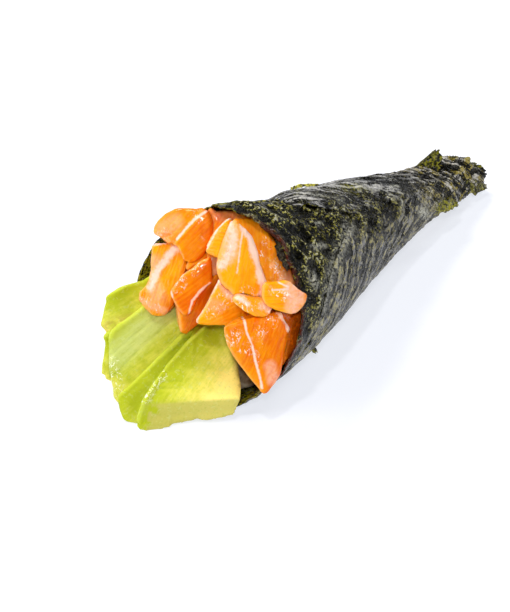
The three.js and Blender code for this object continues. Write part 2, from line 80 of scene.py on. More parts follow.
# whole numbers that scramble a lattice corner and a seed into a value
CORNER_FACTORS = np.array([374761393, 668265263, 974634777])
SEED_FACTOR = 83492791
MIXING_FACTOR = 1274126177
LOW_BITS = 0xFFFF
# how far each finer layer of noise is moved, in its own units, and what the layers add up to
LAYER_SHIFT = 17.3
CREASE_SHIFT = 31.7
LAYER_SUM = 1.5

Colour = tuple[float, float, float, float]
Place = tuple[float, float, float]
Pairs = tuple[tuple[float, float], ...]
Inputs = dict[str | int, object]
Piece = bpy.types.Object
Material = bpy.types.Material
Socket = bpy.types.NodeSocket


class Slot(Enum):
    """The record's material slots."""

    NORI = "nori"
    RICE = "rice"
    AVOCADO = "avocado"
    SALMON = "salmon"


# ---------------------------------------------------------------- small maths


def smoothstep(x: np.ndarray, low: float, high: float) -> np.ndarray:
    """Rises smoothly from 0 at low to 1 at high.

    Args:
        x: Values to map.
        low: Where the rise starts.
        high: Where it ends.

    Returns:
        Values from 0 to 1.
    """
    t = np.clip((np.asarray(x, float) - low) / (high - low), 0.0, 1.0)
    return t * t * (3.0 - 2.0 * t)


def hump(x: np.ndarray, width: float, middle: float = 0.0) -> np.ndarray:
    """A smooth hump, 1 at its middle and almost 0 at twice its width."""
    return np.exp(-(((x - middle) / width) ** 2))


def along(pairs: Pairs, place: np.ndarray) -> np.ndarray:
    """Straight lines through (place, value) pairs, in rising order of place."""
    table = np.array(pairs, float)
    return np.interp(place, table[:, 0], table[:, 1])


# what creased noise comes to on average
CREASE_MEAN = 0.42


@dataclass(frozen=True)
class LatticeNoise:
    """Smooth value noise in three dimensions, the same every run.

    Attributes:
        seed: Chooses the pattern.
    """

    seed: int

    def corner(self, cell: np.ndarray) -> np.ndarray:
        """The lattice's own value, -1 to 1, at whole-number corners."""
        mixed = (cell * CORNER_FACTORS).sum(axis=1) + self.seed * SEED_FACTOR
        mixed = (mixed ^ (mixed >> 13)) * MIXING_FACTOR
        mixed ^= mixed >> 16
        return 2.0 * (mixed & LOW_BITS) / LOW_BITS - 1.0

    def at(self, points: np.ndarray, cell: float) -> np.ndarray:
        """Noise from -1 to 1.

        Args:
            points: Places, one row each.
            cell: Size of a bump, in the points' own units.

        Returns:
            One value for each place.
        """
        scaled = np.asarray(points, float) / cell
        base = np.floor(scaled).astype(np.int64)
        part = scaled - base
        part = part * part * (3.0 - 2.0 * part)
        total = np.zeros(len(scaled))
        for offset in product((0, 1), repeat=3):
            weight = np.prod(np.where(offset, part, 1.0 - part), axis=1)
            total += weight * self.corner(base + np.array(offset))
        return total

    def layered(self, points: np.ndarray, cell: float, layers: int = 3) -> np.ndarray:
        """Noise with finer and weaker layers added, about -1 to 1.

        Args:
            points: Places, one row each.
            cell: Size of the largest bumps.
            layers: How many layers.

        Returns:
            One value for each place.
        """
        total = np.zeros(len(points))
        for layer in range(layers):
            total += self.at(points + LAYER_SHIFT * layer, cell / 2**layer) / 2**layer
        return total / LAYER_SUM

    def creased(self, points: np.ndarray, cell: float, layers: int = 2) -> np.ndarray:
        """Noise folded into sharp creases, 0 on open ground and 1 on a crease.

        Args:
            points: Places, one row each.
            cell: Distance between the largest creases.
            layers: How many layers.

        Returns:
            One value for each place.
        """
        total = np.zeros(len(points))
        for layer in range(layers):
            total += (1.0 - np.abs(self.at(points + CREASE_SHIFT * layer, cell / 2**layer))) ** 4 / 2**layer
        return total / LAYER_SUM


# ---------------------------------------------------------------- meshes


def deselect_all() -> None:
    """Clears the selection, and leaves edit mode if a mesh is in it."""
    if bpy.context.object and bpy.context.object.mode != "OBJECT":
        bpy.ops.object.mode_set(mode="OBJECT")
    bpy.ops.object.select_all(action="DESELECT")


def choose(piece: Piece) -> None:
    """Makes one object the selected and active one."""
    deselect_all()
    piece.select_set(True)
    bpy.context.view_layer.objects.active = piece


def apply_modifier(piece: Piece, kind: str, **settings: object) -> None:
    """Adds a modifier with its settings and applies it.

    Args:
        piece: The object to change.
        kind: The modifier's type name.
        settings: Its properties.
    """
    choose(piece)
    modifier = piece.modifiers.new(kind.lower(), kind)
    for name, value in settings.items():
        setattr(modifier, name, value)
    bpy.ops.object.modifier_apply(modifier=modifier.name)


def read_array(source: bpy.types.bpy_prop_collection, name: str, width: int,
               kind: type = np.float32) -> np.ndarray:
    """One property of a mesh's vertices, edges, faces or corners.

    Args:
        source: The mesh's own list of them.
        name: The property.
        width: How many numbers each holds.
        kind: What kind of number.

    Returns:
        One row for each.
    """
    flat = np.empty(len(source) * width, kind)
    source.foreach_get(name, flat)
    return flat.reshape(-1, width)


def read_points(piece: Piece) -> np.ndarray:
    """The vertices of a mesh in mm on the roll's own axes."""
    return read_array(piece.data.vertices, "co", 3).astype(float) / MM - MOUTH_ORIGIN


def write_points(piece: Piece, points: np.ndarray) -> None:
    """Moves the vertices of a mesh to places in mm on the roll's own axes."""
    packed = ((points + MOUTH_ORIGIN) * MM).astype(np.float32)
    piece.data.vertices.foreach_set("co", packed.ravel())
    piece.data.update()


def read_normals(piece: Piece) -> np.ndarray:
    """The outward directions at the vertices."""
    return read_array(piece.data.vertices, "normal", 3).astype(float)


def write_masks(piece: Piece, masks: dict[str, np.ndarray | float]) -> None:
    """Stores named numbers for each vertex, or one for all, for the materials to read."""
    for name, values in masks.items():
        layer = piece.data.attributes.new(name, "FLOAT", "POINT")
        layer.data.foreach_set("value", np.broadcast_to(values, len(layer.data)).astype(np.float32))


def write_uv(piece: Piece, name: str, u: np.ndarray, v: np.ndarray) -> None:
    """Stores flat coordinates given for each vertex, in mm.

    Args:
        piece: The mesh object.
        name: The name that the materials read them by.
        u: Across the sheet.
        v: Along it.
    """
    corners = read_array(piece.data.loops, "vertex_index", 1, np.int32)[:, 0]
    layer = piece.data.uv_layers.new(name=name)
    layer.data.foreach_set("uv", np.stack([u, v], 1)[corners].astype(np.float32).ravel())


def add_grid(name: str, steps: tuple[int, int]) -> tuple[Piece, np.ndarray, np.ndarray]:
    """Adds a flat grid to be rolled or bent.

    Args:
        name: The piece's name.
        steps: Squares across and along it.

    Returns:
        The piece, and its vertices' places across and along it, from 0 to 1.
    """
    deselect_all()
    bpy.ops.mesh.primitive_grid_add(x_subdivisions=steps[0], y_subdivisions=steps[1], size=1.0)
    piece = bpy.context.object
    piece.name = piece.data.name = name
    across, along_it = (read_array(piece.data.vertices, "co", 3)[:, :2].astype(float) + 0.5).T
    return piece, across, along_it


def finish_piece(piece: Piece, material: Material, slot: Slot, *nodes: str) -> None:
    """Dresses a piece and ties it to the frame.

    Args:
        piece: The finished mesh object.
        material: What it is made of.
        slot: The record's slot for it; not used.
        nodes: The solids that it stands for, if any.
    """
    piece.data.materials.clear()
    piece.data.materials.append(material)
    piece.data.polygons.foreach_set("use_smooth", np.ones(len(piece.data.polygons), bool))
    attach(piece, BODY)
    if nodes:
        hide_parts(*nodes)
    LOG.info("%s: %d faces", piece.name, len(piece.data.polygons))


@dataclass(frozen=True)
class Facing:
    """A flat face's own axes: X level, Y up its slope and Z out of it.

    Attributes:
        at: The face's middle, in mm on the roll's own axes.
        turn: Degrees that it looks to the right of straight out of the mouth.
        lift: Degrees that it looks up.
    """

    at: Place
    turn: float
    lift: float

    def axes(self) -> np.ndarray:
        """The three directions, one row each."""
        turn, lift = math.radians(self.turn), math.radians(self.lift)
        out = Vector((math.sin(turn) * math.cos(lift), -math.cos(turn) * math.cos(lift), math.sin(lift)))
        level = Vector((0, 0, 1)).cross(out).normalized()
        return np.array([level, out.cross(level), out])

    def local(self, points: np.ndarray) -> np.ndarray:
        """Places measured on the face's axes."""
        return (points - np.array(self.at)) @ self.axes().T

    def world(self, points: np.ndarray) -> np.ndarray:
        """Places on the face's axes measured on the roll's."""
        return points @ self.axes() + np.array(self.at)


def line_distance(points: np.ndarray, line: Pairs) -> np.ndarray:
    """How far flat places lie from a line of several straight runs.

    Args:
        points: Flat places, one row each.
        line: The line's corners.

    Returns:
        The distance to the nearest run.
    """
    corners = np.array(line, float)
    nearest = np.full(len(points), np.inf)
    for start, end in zip(corners, corners[1:]):
        run = end - start
        part = np.clip(((points - start) @ run) / (run @ run), 0.0, 1.0)
        nearest = np.minimum(nearest, np.linalg.norm(points - start - part[:, None] * run, axis=1))
    return nearest


# ---------------------------------------------------------------- materials


class Graph:
    """Adds nodes to a node tree and wires them."""

    def __init__(self, tree: bpy.types.NodeTree) -> None:
        """Takes the tree to add to."""
        self.tree = tree

    def fill(self, node: bpy.types.Node, inputs: Inputs) -> bpy.types.Node:
        """Gives each of a node's inputs its value or its link."""
        for name, value in inputs.items():
            if isinstance(value, Socket):
                self.tree.links.new(value, node.inputs[name])
            else:
                node.inputs[name].default_value = value
        return node

    def node(self, kind: str, inputs: Inputs | None = None, **settings: object) -> bpy.types.Node:
        """Adds one node.

        Args:
            kind: The node's type name.
            inputs: A value or a socket for each input.
            settings: The node's own properties.

        Returns:
            The node.
        """
        made = self.tree.nodes.new(kind)
        for name, value in settings.items():
            setattr(made, name, value)
        return self.fill(made, inputs or {})

    def math(self, operation: str, a: object, b: object = 0.0, clamp: bool = False) -> Socket:
        """One step of arithmetic on two numbers."""
        return self.node("ShaderNodeMath", {0: a, 1: b}, operation=operation, use_clamp=clamp).outputs[0]

    def times(self, a: object, b: object, clamp: bool = False) -> Socket:
        """Two numbers multiplied."""
        return self.math("MULTIPLY", a, b, clamp)

    def plus(self, a: object, b: object, clamp: bool = False) -> Socket:
        """Two numbers added."""
        return self.math("ADD", a, b, clamp)

    def rise(self, value: object, low: float, high: float, start: float = 0.0, end: float = 1.0) -> Socket:
        """A smooth rise from start, where value is low, to end, where it is high."""
        inputs = {"Value": value, "From Min": low, "From Max": high, "To Min": start, "To Max": end}
        made = self.node("ShaderNodeMapRange", inputs, interpolation_type="SMOOTHSTEP")
        return made.outputs["Result"]

    def mix(self, share: object, a: object, b: object) -> Socket:
        """A mix of two colours."""
        return self.node("ShaderNodeMix", {0: share, 6: a, 7: b}, data_type="RGBA").outputs[2]

    def noise(self, place: object, cell: float, detail: float = 3.0, warp: float = 0.0) -> Socket:
        """Noise from 0 to 1 whose bumps are cell across, in the place's own units."""
        inputs = {"Vector": place, "Scale": 1.0 / cell, "Detail": detail, "Distortion": warp}
        return self.node("ShaderNodeTexNoise", inputs).outputs["Fac"]

    def mask(self, name: str) -> Socket:
        """A number stored on the vertices."""
        return self.node("ShaderNodeAttribute", attribute_name=name).outputs["Fac"]

    def scratched(self, name: str, cell: float, detail: float, low: float, high: float) -> Socket:
        """A stored mask, broken up by noise whose bumps are cell mm across."""
        return self.times(self.mask(name), self.rise(self.noise(self.place(), cell, detail), low, high))

    def place(self) -> Socket:
        """The place on the object, in mm."""
        metres = self.node("ShaderNodeTexCoord").outputs["Object"]
        return self.node("ShaderNodeMapping", {"Vector": metres, "Scale": (1 / MM,) * 3}).outputs["Vector"]

    def sheet(self, heading: float, stretch: float) -> Socket:
        """The place on the flat nori sheet, in mm, drawn out along a heading in degrees."""
        inputs = {"Vector": self.node("ShaderNodeUVMap", uv_map="sheet").outputs["UV"],
                  "Rotation": (0.0, 0.0, math.radians(heading)), "Scale": (stretch, 1.0, 1.0)}
        return self.node("ShaderNodeMapping", inputs, vector_type="TEXTURE").outputs["Vector"]

    def bump(self, height: object, depth: float, strength: float = 1.0,
             normal: Socket | None = None) -> Socket:
        """A bent normal.

        Args:
            height: From 0 to 1.
            depth: What a height of 1 stands for, in mm.
            strength: How much of the bend shows.
            normal: A normal that is already bent, if any.

        Returns:
            The normal.
        """
        inputs = {"Height": height, "Distance": depth * MM, "Strength": strength}
        if normal is not None:
            inputs["Normal"] = normal
        return self.node("ShaderNodeBump", inputs).outputs["Normal"]


def new_group(name: str, inputs: dict[str, str], outputs: dict[str, str]) -> Graph:
    """An empty node group.

    Args:
        name: Its name.
        inputs: The kind of each input, by name.
        outputs: The kind of each output, by name.

    Returns:
        A graph that adds to it.
    """
    tree = bpy.data.node_groups.new(name, "ShaderNodeTree")
    for way, sockets in (("INPUT", inputs), ("OUTPUT", outputs)):
        for label, kind in sockets.items():
            tree.interface.new_socket(label, in_out=way, socket_type="NodeSocket" + kind)
    return Graph(tree)


def wet_film_group() -> bpy.types.NodeTree:
    """Juice on cut food: beads and a fine unevenness, as a height and a roughness."""
    inputs = {"Place": "Vector", "Bead": "Float", "Fine": "Float", "Wetness": "Float",
              "Dry Roughness": "Float"}
    graph = new_group("wet_film", inputs, {"Height": "Float", "Roughness": "Float"})
    given = graph.node("NodeGroupInput").outputs
    cells = {"Vector": given["Place"], "Scale": given["Bead"]}
    beads = graph.node("ShaderNodeTexVoronoi", cells, feature="SMOOTH_F1").outputs["Distance"]
    fine = graph.node("ShaderNodeTexNoise", {"Vector": given["Place"], "Scale": given["Fine"], "Detail": 4.0})
    patches = graph.node("ShaderNodeTexNoise", {"Vector": given["Place"], "Scale": 0.35, "Detail": 2.0})
    drops = graph.times(graph.rise(beads, 0.55, 0.1), given["Wetness"])
    height = graph.plus(graph.times(fine.outputs["Fac"], 0.6), graph.times(drops, 0.4))
    dried = graph.times(graph.rise(patches.outputs["Fac"], 0.4, 0.65), given["Dry Roughness"])
    rough = graph.plus(dried, 0.14)
    graph.node("NodeGroupOutput", {"Height": height, "Roughness": rough})
    return graph.tree


def mottle_group() -> bpy.types.NodeTree:
    """Soft patches of two colours."""
    inputs = {"Place": "Vector", "Scale": "Float", "Low": "Color", "High": "Color"}
    graph = new_group("mottle", inputs, {"Color": "Color"})
    given = graph.node("NodeGroupInput").outputs
    spots = {"Vector": given["Place"], "Scale": given["Scale"], "Detail": 4.0}
    share = graph.rise(graph.node("ShaderNodeTexNoise", spots).outputs["Fac"], 0.34, 0.66)
    graph.node("NodeGroupOutput", {"Color": graph.mix(share, given["Low"], given["High"])})
    return graph.tree


@dataclass
class Effects:
    """The node groups that several materials share."""

    wet_film: bpy.types.NodeTree = field(default_factory=wet_film_group)
    mottle: bpy.types.NodeTree = field(default_factory=mottle_group)

    def place_film(self, graph: Graph, place: Socket, bead: float, fine: float, wetness: float,
                   dry: float) -> tuple[Socket, Socket]:
        """Adds the wet film.

        Args:
            graph: The material's graph.
            place: The place in mm.
            bead: Size of the beads, in mm.
            fine: Size of the fine unevenness, in mm.
            wetness: How high the beads stand, from 0 to 1.
            dry: How much rougher the dry patches are.

        Returns:
            Its height and its roughness.
        """
        inputs = {"Place": place, "Bead": 1 / bead, "Fine": 1 / fine, "Wetness": wetness,
                  "Dry Roughness": dry}
        outputs = graph.node("ShaderNodeGroup", inputs, node_tree=self.wet_film).outputs
        return outputs["Height"], outputs["Roughness"]

    def place_mottle(self, graph: Graph, place: Socket, cell: float, low: Colour, high: Colour) -> Socket:
        """Adds the mottle with patches cell mm across; gives its colour."""
        inputs = {"Place": place, "Scale": 1 / cell, "Low": low, "High": high}
        return graph.node("ShaderNodeGroup", inputs, node_tree=self.mottle).outputs["Color"]


def new_material(name: str) -> tuple[Material, Graph, bpy.types.Node]:
    """An empty material with its shader.

    Args:
        name: The material's name.

    Returns:
        The material, its graph and its Principled BSDF.
    """
    material = bpy.data.materials.new(name)
    material.use_nodes = True
    return material, Graph(material.node_tree), material.node_tree.nodes["Principled BSDF"]


@dataclass(frozen=True)
class NoriFinish:
    """Toasted seaweed: near black where it is crumpled, with painted light on the crests, painted shade in
    the hollows and painted sheen; slate grey, partly a painted reflection, and veined where it lies smooth.
    """

    name: str = "toasted_nori"
    # black is partly painted shade; sheen, top_grey and tip_pale are painted sheen and painted highlights;
    # slate is partly a painted reflection
    black: Colour = (0.0012, 0.0012, 0.0005, 1)
    moss: Colour = (0.042, 0.038, 0.006, 1)
    fibre: Colour = (0.42, 0.38, 0.07, 1)
    sheen: Colour = (0.55, 0.54, 0.45, 1)
    top_dark: Colour = (0.004, 0.004, 0.003, 1)
    top_grey: Colour = (0.56, 0.545, 0.53, 1)
    slate_dark: Colour = (0.008, 0.0075, 0.005, 1)
    slate: Colour = (0.27, 0.262, 0.265, 1)
    beige: Colour = (0.47, 0.41, 0.18, 1)
    tip_dark: Colour = (0.005, 0.0045, 0.002, 1)
    tip_pale: Colour = (0.80, 0.76, 0.68, 1)
    tip_olive: Colour = (0.44, 0.34, 0.035, 1)
    fresh: Colour = (0.38, 0.355, 0.008, 1)
    soaked: Colour = (0.09, 0.014, 0.003, 1)

    def build(self, effects: Effects) -> Material:
        """Makes the material."""
        material, graph, shader = new_material(self.name)
        place = graph.place()
        crest, crumpled = graph.mask("crest"), graph.mask("crumpled")
        streaked, veined, tip = graph.mask("streaked"), graph.mask("veined"), graph.mask("tip")
        hoop, axial = graph.sheet(VEINED_HEADING, 3.6), graph.sheet(STREAKED_HEADING, 8.0)
        twist = graph.sheet(TIP_HEADING, 9.0)
        broad = graph.rise(graph.noise(place, 9.0, 2.0), 0.36, 0.64, -0.2, 0.2)
        fine = graph.rise(graph.noise(place, 0.8, 5.0, 0.5), 0.35, 0.65, -0.6, 0.6)
        # speckled and base follow the crumples' crest heights, so the crests get painted light and the
        # hollows painted shade; the fine noise adds random flecks
        speckled = graph.plus(graph.times(crest, 0.85), fine)
        base = graph.plus(graph.plus(crest, graph.times(fine, 0.35)), broad)
        pleats = graph.noise(axial, 1.0, 3.0, 0.4)
        ribs = graph.noise(hoop, 1.3, 3.0, 0.7)
        twists = graph.noise(twist, 1.5, 3.0, 0.5)
        streak = graph.plus(base, graph.rise(pleats, 0.37, 0.63, -0.5, 0.5))
        rib = graph.plus(base, graph.rise(ribs, 0.37, 0.63, -0.4, 0.4))
        wrung = graph.plus(base, graph.rise(twists, 0.37, 0.63, -0.5, 0.5))
        # painted shade: black in the hollows; moss and fibre, partly the sheet's own colour and partly
        # painted light on the crests; sheen, a painted highlight on the highest crests
        colour = graph.mix(graph.rise(speckled, 0.45, 0.85), self.black, self.moss)
        colour = graph.mix(graph.rise(speckled, 0.8, 1.1, 0.0, 0.95), colour, self.fibre)
        colour = graph.mix(graph.rise(speckled, 1.12, 1.35, 0.0, 0.85), colour, self.sheen)
        # slate grey: the dark sheet with a painted reflection of the pale floor; the beige patches are its
        # own colour
        patch = effects.place_mottle(graph, hoop, 2.6, self.slate_dark, self.slate)
        dry = graph.noise(graph.sheet(VEINED_HEADING, 2.0), 1.0, 4.0, 0.8)
        patch = graph.mix(graph.rise(dry, 0.48, 0.6, 0.0, 0.85), patch, self.beige)
        veined_colour = graph.mix(graph.rise(rib, 0.24, 0.66), self.top_dark, patch)
        # painted sheen: thin light grey streaks along the axis on the dark upper side
        streaked_colour = graph.mix(graph.rise(streak, 0.5, 1.2), self.top_dark, self.top_grey)
        # painted highlights: silvery streaks on the crests of the tip's twisted wrinkles; the olive patches
        # are the sheet's own colour
        tip_colour = graph.mix(graph.rise(wrung, 0.45, 1.1), self.tip_dark, self.tip_pale)
        rusty = graph.rise(graph.noise(place, 3.2, 3.0, 0.5), 0.46, 0.6, 0.0, 0.9)
        rusty = graph.times(rusty, graph.rise(wrung, 0.3, 0.6))
        tip_colour = graph.mix(rusty, tip_colour, self.tip_olive)
        colour = graph.mix(veined, colour, veined_colour)
        colour = graph.mix(streaked, colour, streaked_colour)
        colour = graph.mix(graph.times(tip, 0.85), colour, tip_colour)
        colour = graph.mix(graph.scratched("fresh", 1.0, 3.0, 0.42, 0.6), colour, self.fresh)
        # painted sheen: pale spots and lines from the sheen mask
        colour = graph.mix(graph.scratched("sheen", 0.8, 3.0, 0.36, 0.56), colour, self.sheen)
        colour = graph.mix(graph.scratched("soaked", 1.3, 3.0, 0.36, 0.5), colour, self.soaked)
        wrinkle = graph.noise(place, 2.2, 4.0, 1.2)
        rough = graph.rise(graph.noise(place, 1.4, 3.0), 0.35, 0.65, 0.14, 0.34)
        pressed = graph.bump(graph.times(pleats, streaked), 2.2, 1.0)
        ribbed = graph.bump(graph.times(ribs, veined), 1.6, 0.9, pressed)
        wrinkled = graph.bump(graph.times(twists, tip), 2.2, 1.0, ribbed)
        crushed = graph.times(wrinkle, graph.rise(crumpled, 0.0, 1.0, 0.3, 1.0))
        graph.fill(shader, {"Base Color": colour, "Roughness": rough, "Specular IOR Level": 0.18,
                            "Normal": graph.bump(crushed, 3.6, 1.0, wrinkled)})
        return material


@dataclass(frozen=True)
class SalmonFinish:
    """Raw salmon: wet orange muscle with pale bands of fat, painted glints, and painted shade on the faces
    that look away from the light.
    """

    bright: Colour = (0.93, 0.385, 0.004, 1)
    deep: Colour = (0.76, 0.135, 0.001, 1)
    fat: Colour = (0.94, 0.62, 0.49, 1)
    bloom: Colour = (0.92, 0.49, 0.34, 1)
    fibre: Colour = (0.97, 0.47, 0.09, 1)
    glint: Colour = (1.0, 0.90, 0.82, 1)
    painted_shade: Colour = (0.12, 0.014, 0.002, 1)

    def build(self, effects: Effects) -> Material:
        """Makes the material."""
        material, graph, shader = new_material("raw_salmon")
        place = graph.place()
        blotch = graph.rise(graph.noise(place, 5.0, 2.0), 0.3, 0.7, -0.16, 0.16)
        rising = graph.node("ShaderNodeSeparateXYZ", {"Vector": place}).outputs["Z"]
        grain, wet = graph.mask("grain"), graph.mask("wet")
        lines = graph.node("ShaderNodeCombineXYZ", {"X": grain, "Y": graph.times(rising, 0.12)}).outputs[0]
        muscle = graph.rise(graph.noise(lines, 0.7, 3.0, 0.5), 0.32, 0.68, -0.17, 0.17)
        tone = graph.plus(graph.plus(graph.mask("tone"), muscle), blotch, clamp=True)
        colour = graph.mix(tone, self.deep, self.bright)
        crumb = graph.rise(graph.noise(place, 0.9, 3.0, 0.5), 0.3, 0.7, 0.6, 1.1)
        pale = graph.times(graph.mask("pale"), crumb, clamp=True)
        # bloom: the flesh's own pink patches, with painted highlights on some and painted light on faces that
        # look back from the shaded side
        colour = graph.mix(graph.times(pale, 0.9), colour, self.bloom)
        warp = graph.rise(graph.noise(place, 3.0, 1.0), 0.3, 0.7, -0.25, 0.25)
        wave = graph.math("SINE", graph.times(graph.plus(grain, warp), 2 * math.pi / MUSCLE_LINE))
        fibres = graph.times(graph.rise(wave, 0.3, 1.0), graph.scratched("striped", 2.2, 1.0, 0.35, 0.6))
        colour = graph.mix(fibres, colour, self.fibre)
        wander = graph.rise(graph.noise(place, 0.9, 3.0), 0.3, 0.7, -0.13, 0.13)
        band = graph.rise(graph.plus(graph.mask("fat"), wander), 0.2, 0.85)
        colour = graph.mix(band, colour, self.fat)
        # pale rims on the chunks' edges: part fat membrane, part painted highlight
        wear_and_sheen = graph.times(graph.mask("edge"), graph.mask("rimmed"))
        colour = graph.mix(graph.times(wear_and_sheen, crumb, clamp=True), colour, self.fat)
        upright = graph.node("ShaderNodeMapping", {"Vector": place, "Scale": (1.0, 1.0, 0.45)})
        spark = graph.rise(graph.noise(upright.outputs["Vector"], 0.7, 3.0, 1.4), 0.52, 0.64)
        cluster = graph.rise(graph.noise(place, 1.9, 2.0), 0.38, 0.56)
        # painted glints: tiny bright spots in the wet patches
        colour = graph.mix(graph.times(graph.times(spark, cluster), wet, clamp=True), colour, self.glint)
        # painted shade: a dark red-brown over chunks that lie in shadow
        colour = graph.mix(graph.scratched("painted_shade", 1.5, 3.0, 0.34, 0.52), colour, self.painted_shade)
        height, rough = effects.place_film(graph, place, 1.6, 0.9, 0.8, 0.14)
        fine = graph.bump(graph.plus(muscle, fibres), 0.16, 0.8)
        normal = graph.bump(height, 0.34, 1.0, fine)
        graph.fill(shader, {"Base Color": colour, "Roughness": rough, "Normal": normal,
                            "Specular IOR Level": 0.05, "Subsurface Weight": 0.25,
                            "Subsurface Radius": (1.0, 0.4, 0.1), "Subsurface Scale": 1.0 * MM,
                            "Coat Weight": graph.rise(wet, 0.0, 0.8, 0.25, 0.9),
                            "Coat Roughness": 0.08, "Coat IOR": 1.33})
        return material


@dataclass(frozen=True)
class AvocadoFinish:
    """Ripe avocado flesh: bright green next to the skin and yellow towards the stone."""

    rim: Colour = (0.26, 0.37, 0.006, 1)
    ridge_light: Colour = (0.60, 0.68, 0.06, 1)
    green: Colour = (0.43, 0.485, 0.009, 1)
    lime: Colour = (0.66, 0.645, 0.075, 1)
    butter: Colour = (1.0, 0.82, 0.21, 1)
    pale: Colour = (0.60, 0.67, 0.24, 1)
    bruise: Colour = (0.40, 0.24, 0.06, 1)
    cut_end_shade: Colour = (0.52, 0.47, 0.10, 1)
    glint: Colour = (0.92, 0.97, 0.66, 1)

    def build(self, effects: Effects) -> Material:
        """Makes the material."""
        material, graph, shader = new_material("avocado_flesh")
        place = graph.place()
        end, wet = graph.mask("end"), graph.mask("wet")
        along_it = graph.times(graph.mask("length"), 0.14)
        lines = graph.node("ShaderNodeCombineXYZ", {"X": graph.mask("across"), "Y": along_it}).outputs[0]
        fibres = graph.noise(lines, 0.8, 4.0, 0.4)
        drift = graph.rise(graph.noise(place, 3.4, 4.0), 0.28, 0.72, -0.1, 0.1)
        streak = graph.rise(fibres, 0.25, 0.75, -0.07, 0.07)
        depth = graph.plus(graph.mask("depth"), graph.plus(drift, streak))
        colour = graph.mix(graph.rise(depth, 0.1, 0.5), self.green, self.lime)
        colour = graph.mix(graph.rise(depth, 0.4, 0.86), colour, self.butter)
        # a paler band over the face's middle
        paled = graph.times(graph.mask("pale_band"), graph.rise(fibres, 0.1, 0.8, 0.55, 1.0))
        colour = graph.mix(paled, colour, self.pale)
        # painted shade: the cut end, which looks down, is painted darker
        colour = graph.mix(graph.times(end, 0.85), colour, self.cut_end_shade)
        colour = graph.mix(graph.times(end, graph.rise(depth, 0.2, 0.05)), colour, self.green)
        colour = graph.mix(graph.rise(graph.mask("depth"), 0.032, 0.01, 0.0, 0.6), colour, self.ridge_light)
        # painted shade: dark green in the crease beside the neighbour's ridge
        colour = graph.mix(graph.times(graph.mask("crease"), 0.8), colour, self.rim)
        pricked = graph.rise(graph.noise(place, 0.7, 4.0, 0.4), 0.52, 0.7, 0.0, 0.22)
        colour = graph.mix(pricked, colour, self.rim)
        creamy = graph.rise(graph.noise(place, 1.1, 4.0, 0.8), 0.54, 0.7, 0.0, 0.3)
        colour = graph.mix(creamy, colour, self.pale)
        colour = graph.mix(graph.scratched("bruise", 1.6, 3.0, 0.35, 0.6), colour, self.bruise)
        # painted glints: tiny bright spots where the flesh is wet
        spark = graph.rise(graph.noise(place, 0.8, 3.0, 1.0), 0.54, 0.64)
        shown = graph.times(graph.rise(end, 0.5, 0.0), wet)
        colour = graph.mix(graph.times(spark, shown), colour, self.glint)
        height, _ = effects.place_film(graph, place, 0.9, 0.45, 0.5, 0.25)
        rough = graph.rise(wet, 0.05, 0.6, 0.6, 0.16)
        scored = graph.bump(fibres, 0.10, 0.5)
        pores = graph.bump(graph.noise(place, 0.4, 2.0), 0.05, 0.6, scored)
        beads = graph.times(height, graph.rise(wet, 0, 1, 0.08, 1.8))
        normal = graph.bump(beads, 0.2, 0.8, pores)
        graph.fill(shader, {"Base Color": colour, "Roughness": rough, "Normal": normal,
                            "Specular IOR Level": 0.14, "Subsurface Weight": 0.12,
                            "Subsurface Radius": (0.8, 0.7, 0.15), "Subsurface Scale": 0.8 * MM,
                            "Coat Weight": graph.times(wet, 0.6), "Coat Roughness": 0.1})
        return material


@dataclass(frozen=True)
class RiceFinish:
    """Cooked sushi rice: slightly see-through grains, coloured greyish brown with painted shade, as they lie
    in shadow inside the cone.
    """

    # painted shade: both colours are darkened to the greyish brown of rice in shadow
    pale: Colour = (0.50, 0.43, 0.33, 1)
    shade: Colour = (0.23, 0.16, 0.10, 1)

    def build(self, effects: Effects) -> Material:
        """Makes the material."""
        material, graph, shader = new_material("cooked_rice")
        place = graph.place()
        colour = effects.place_mottle(graph, place, 2.4, self.shade, self.pale)
        height, rough = effects.place_film(graph, place, 1.4, 0.6, 0.3, 0.3)
        graph.fill(shader, {"Base Color": colour, "Roughness": rough, "Normal": graph.bump(height, 0.08, 0.5),
                            "Subsurface Weight": 0.3, "Subsurface Radius": (1.0, 0.8, 0.5),
                            "Subsurface Scale": 1.0 * MM})
        return material


# ---------------------------------------------------------------- the cone


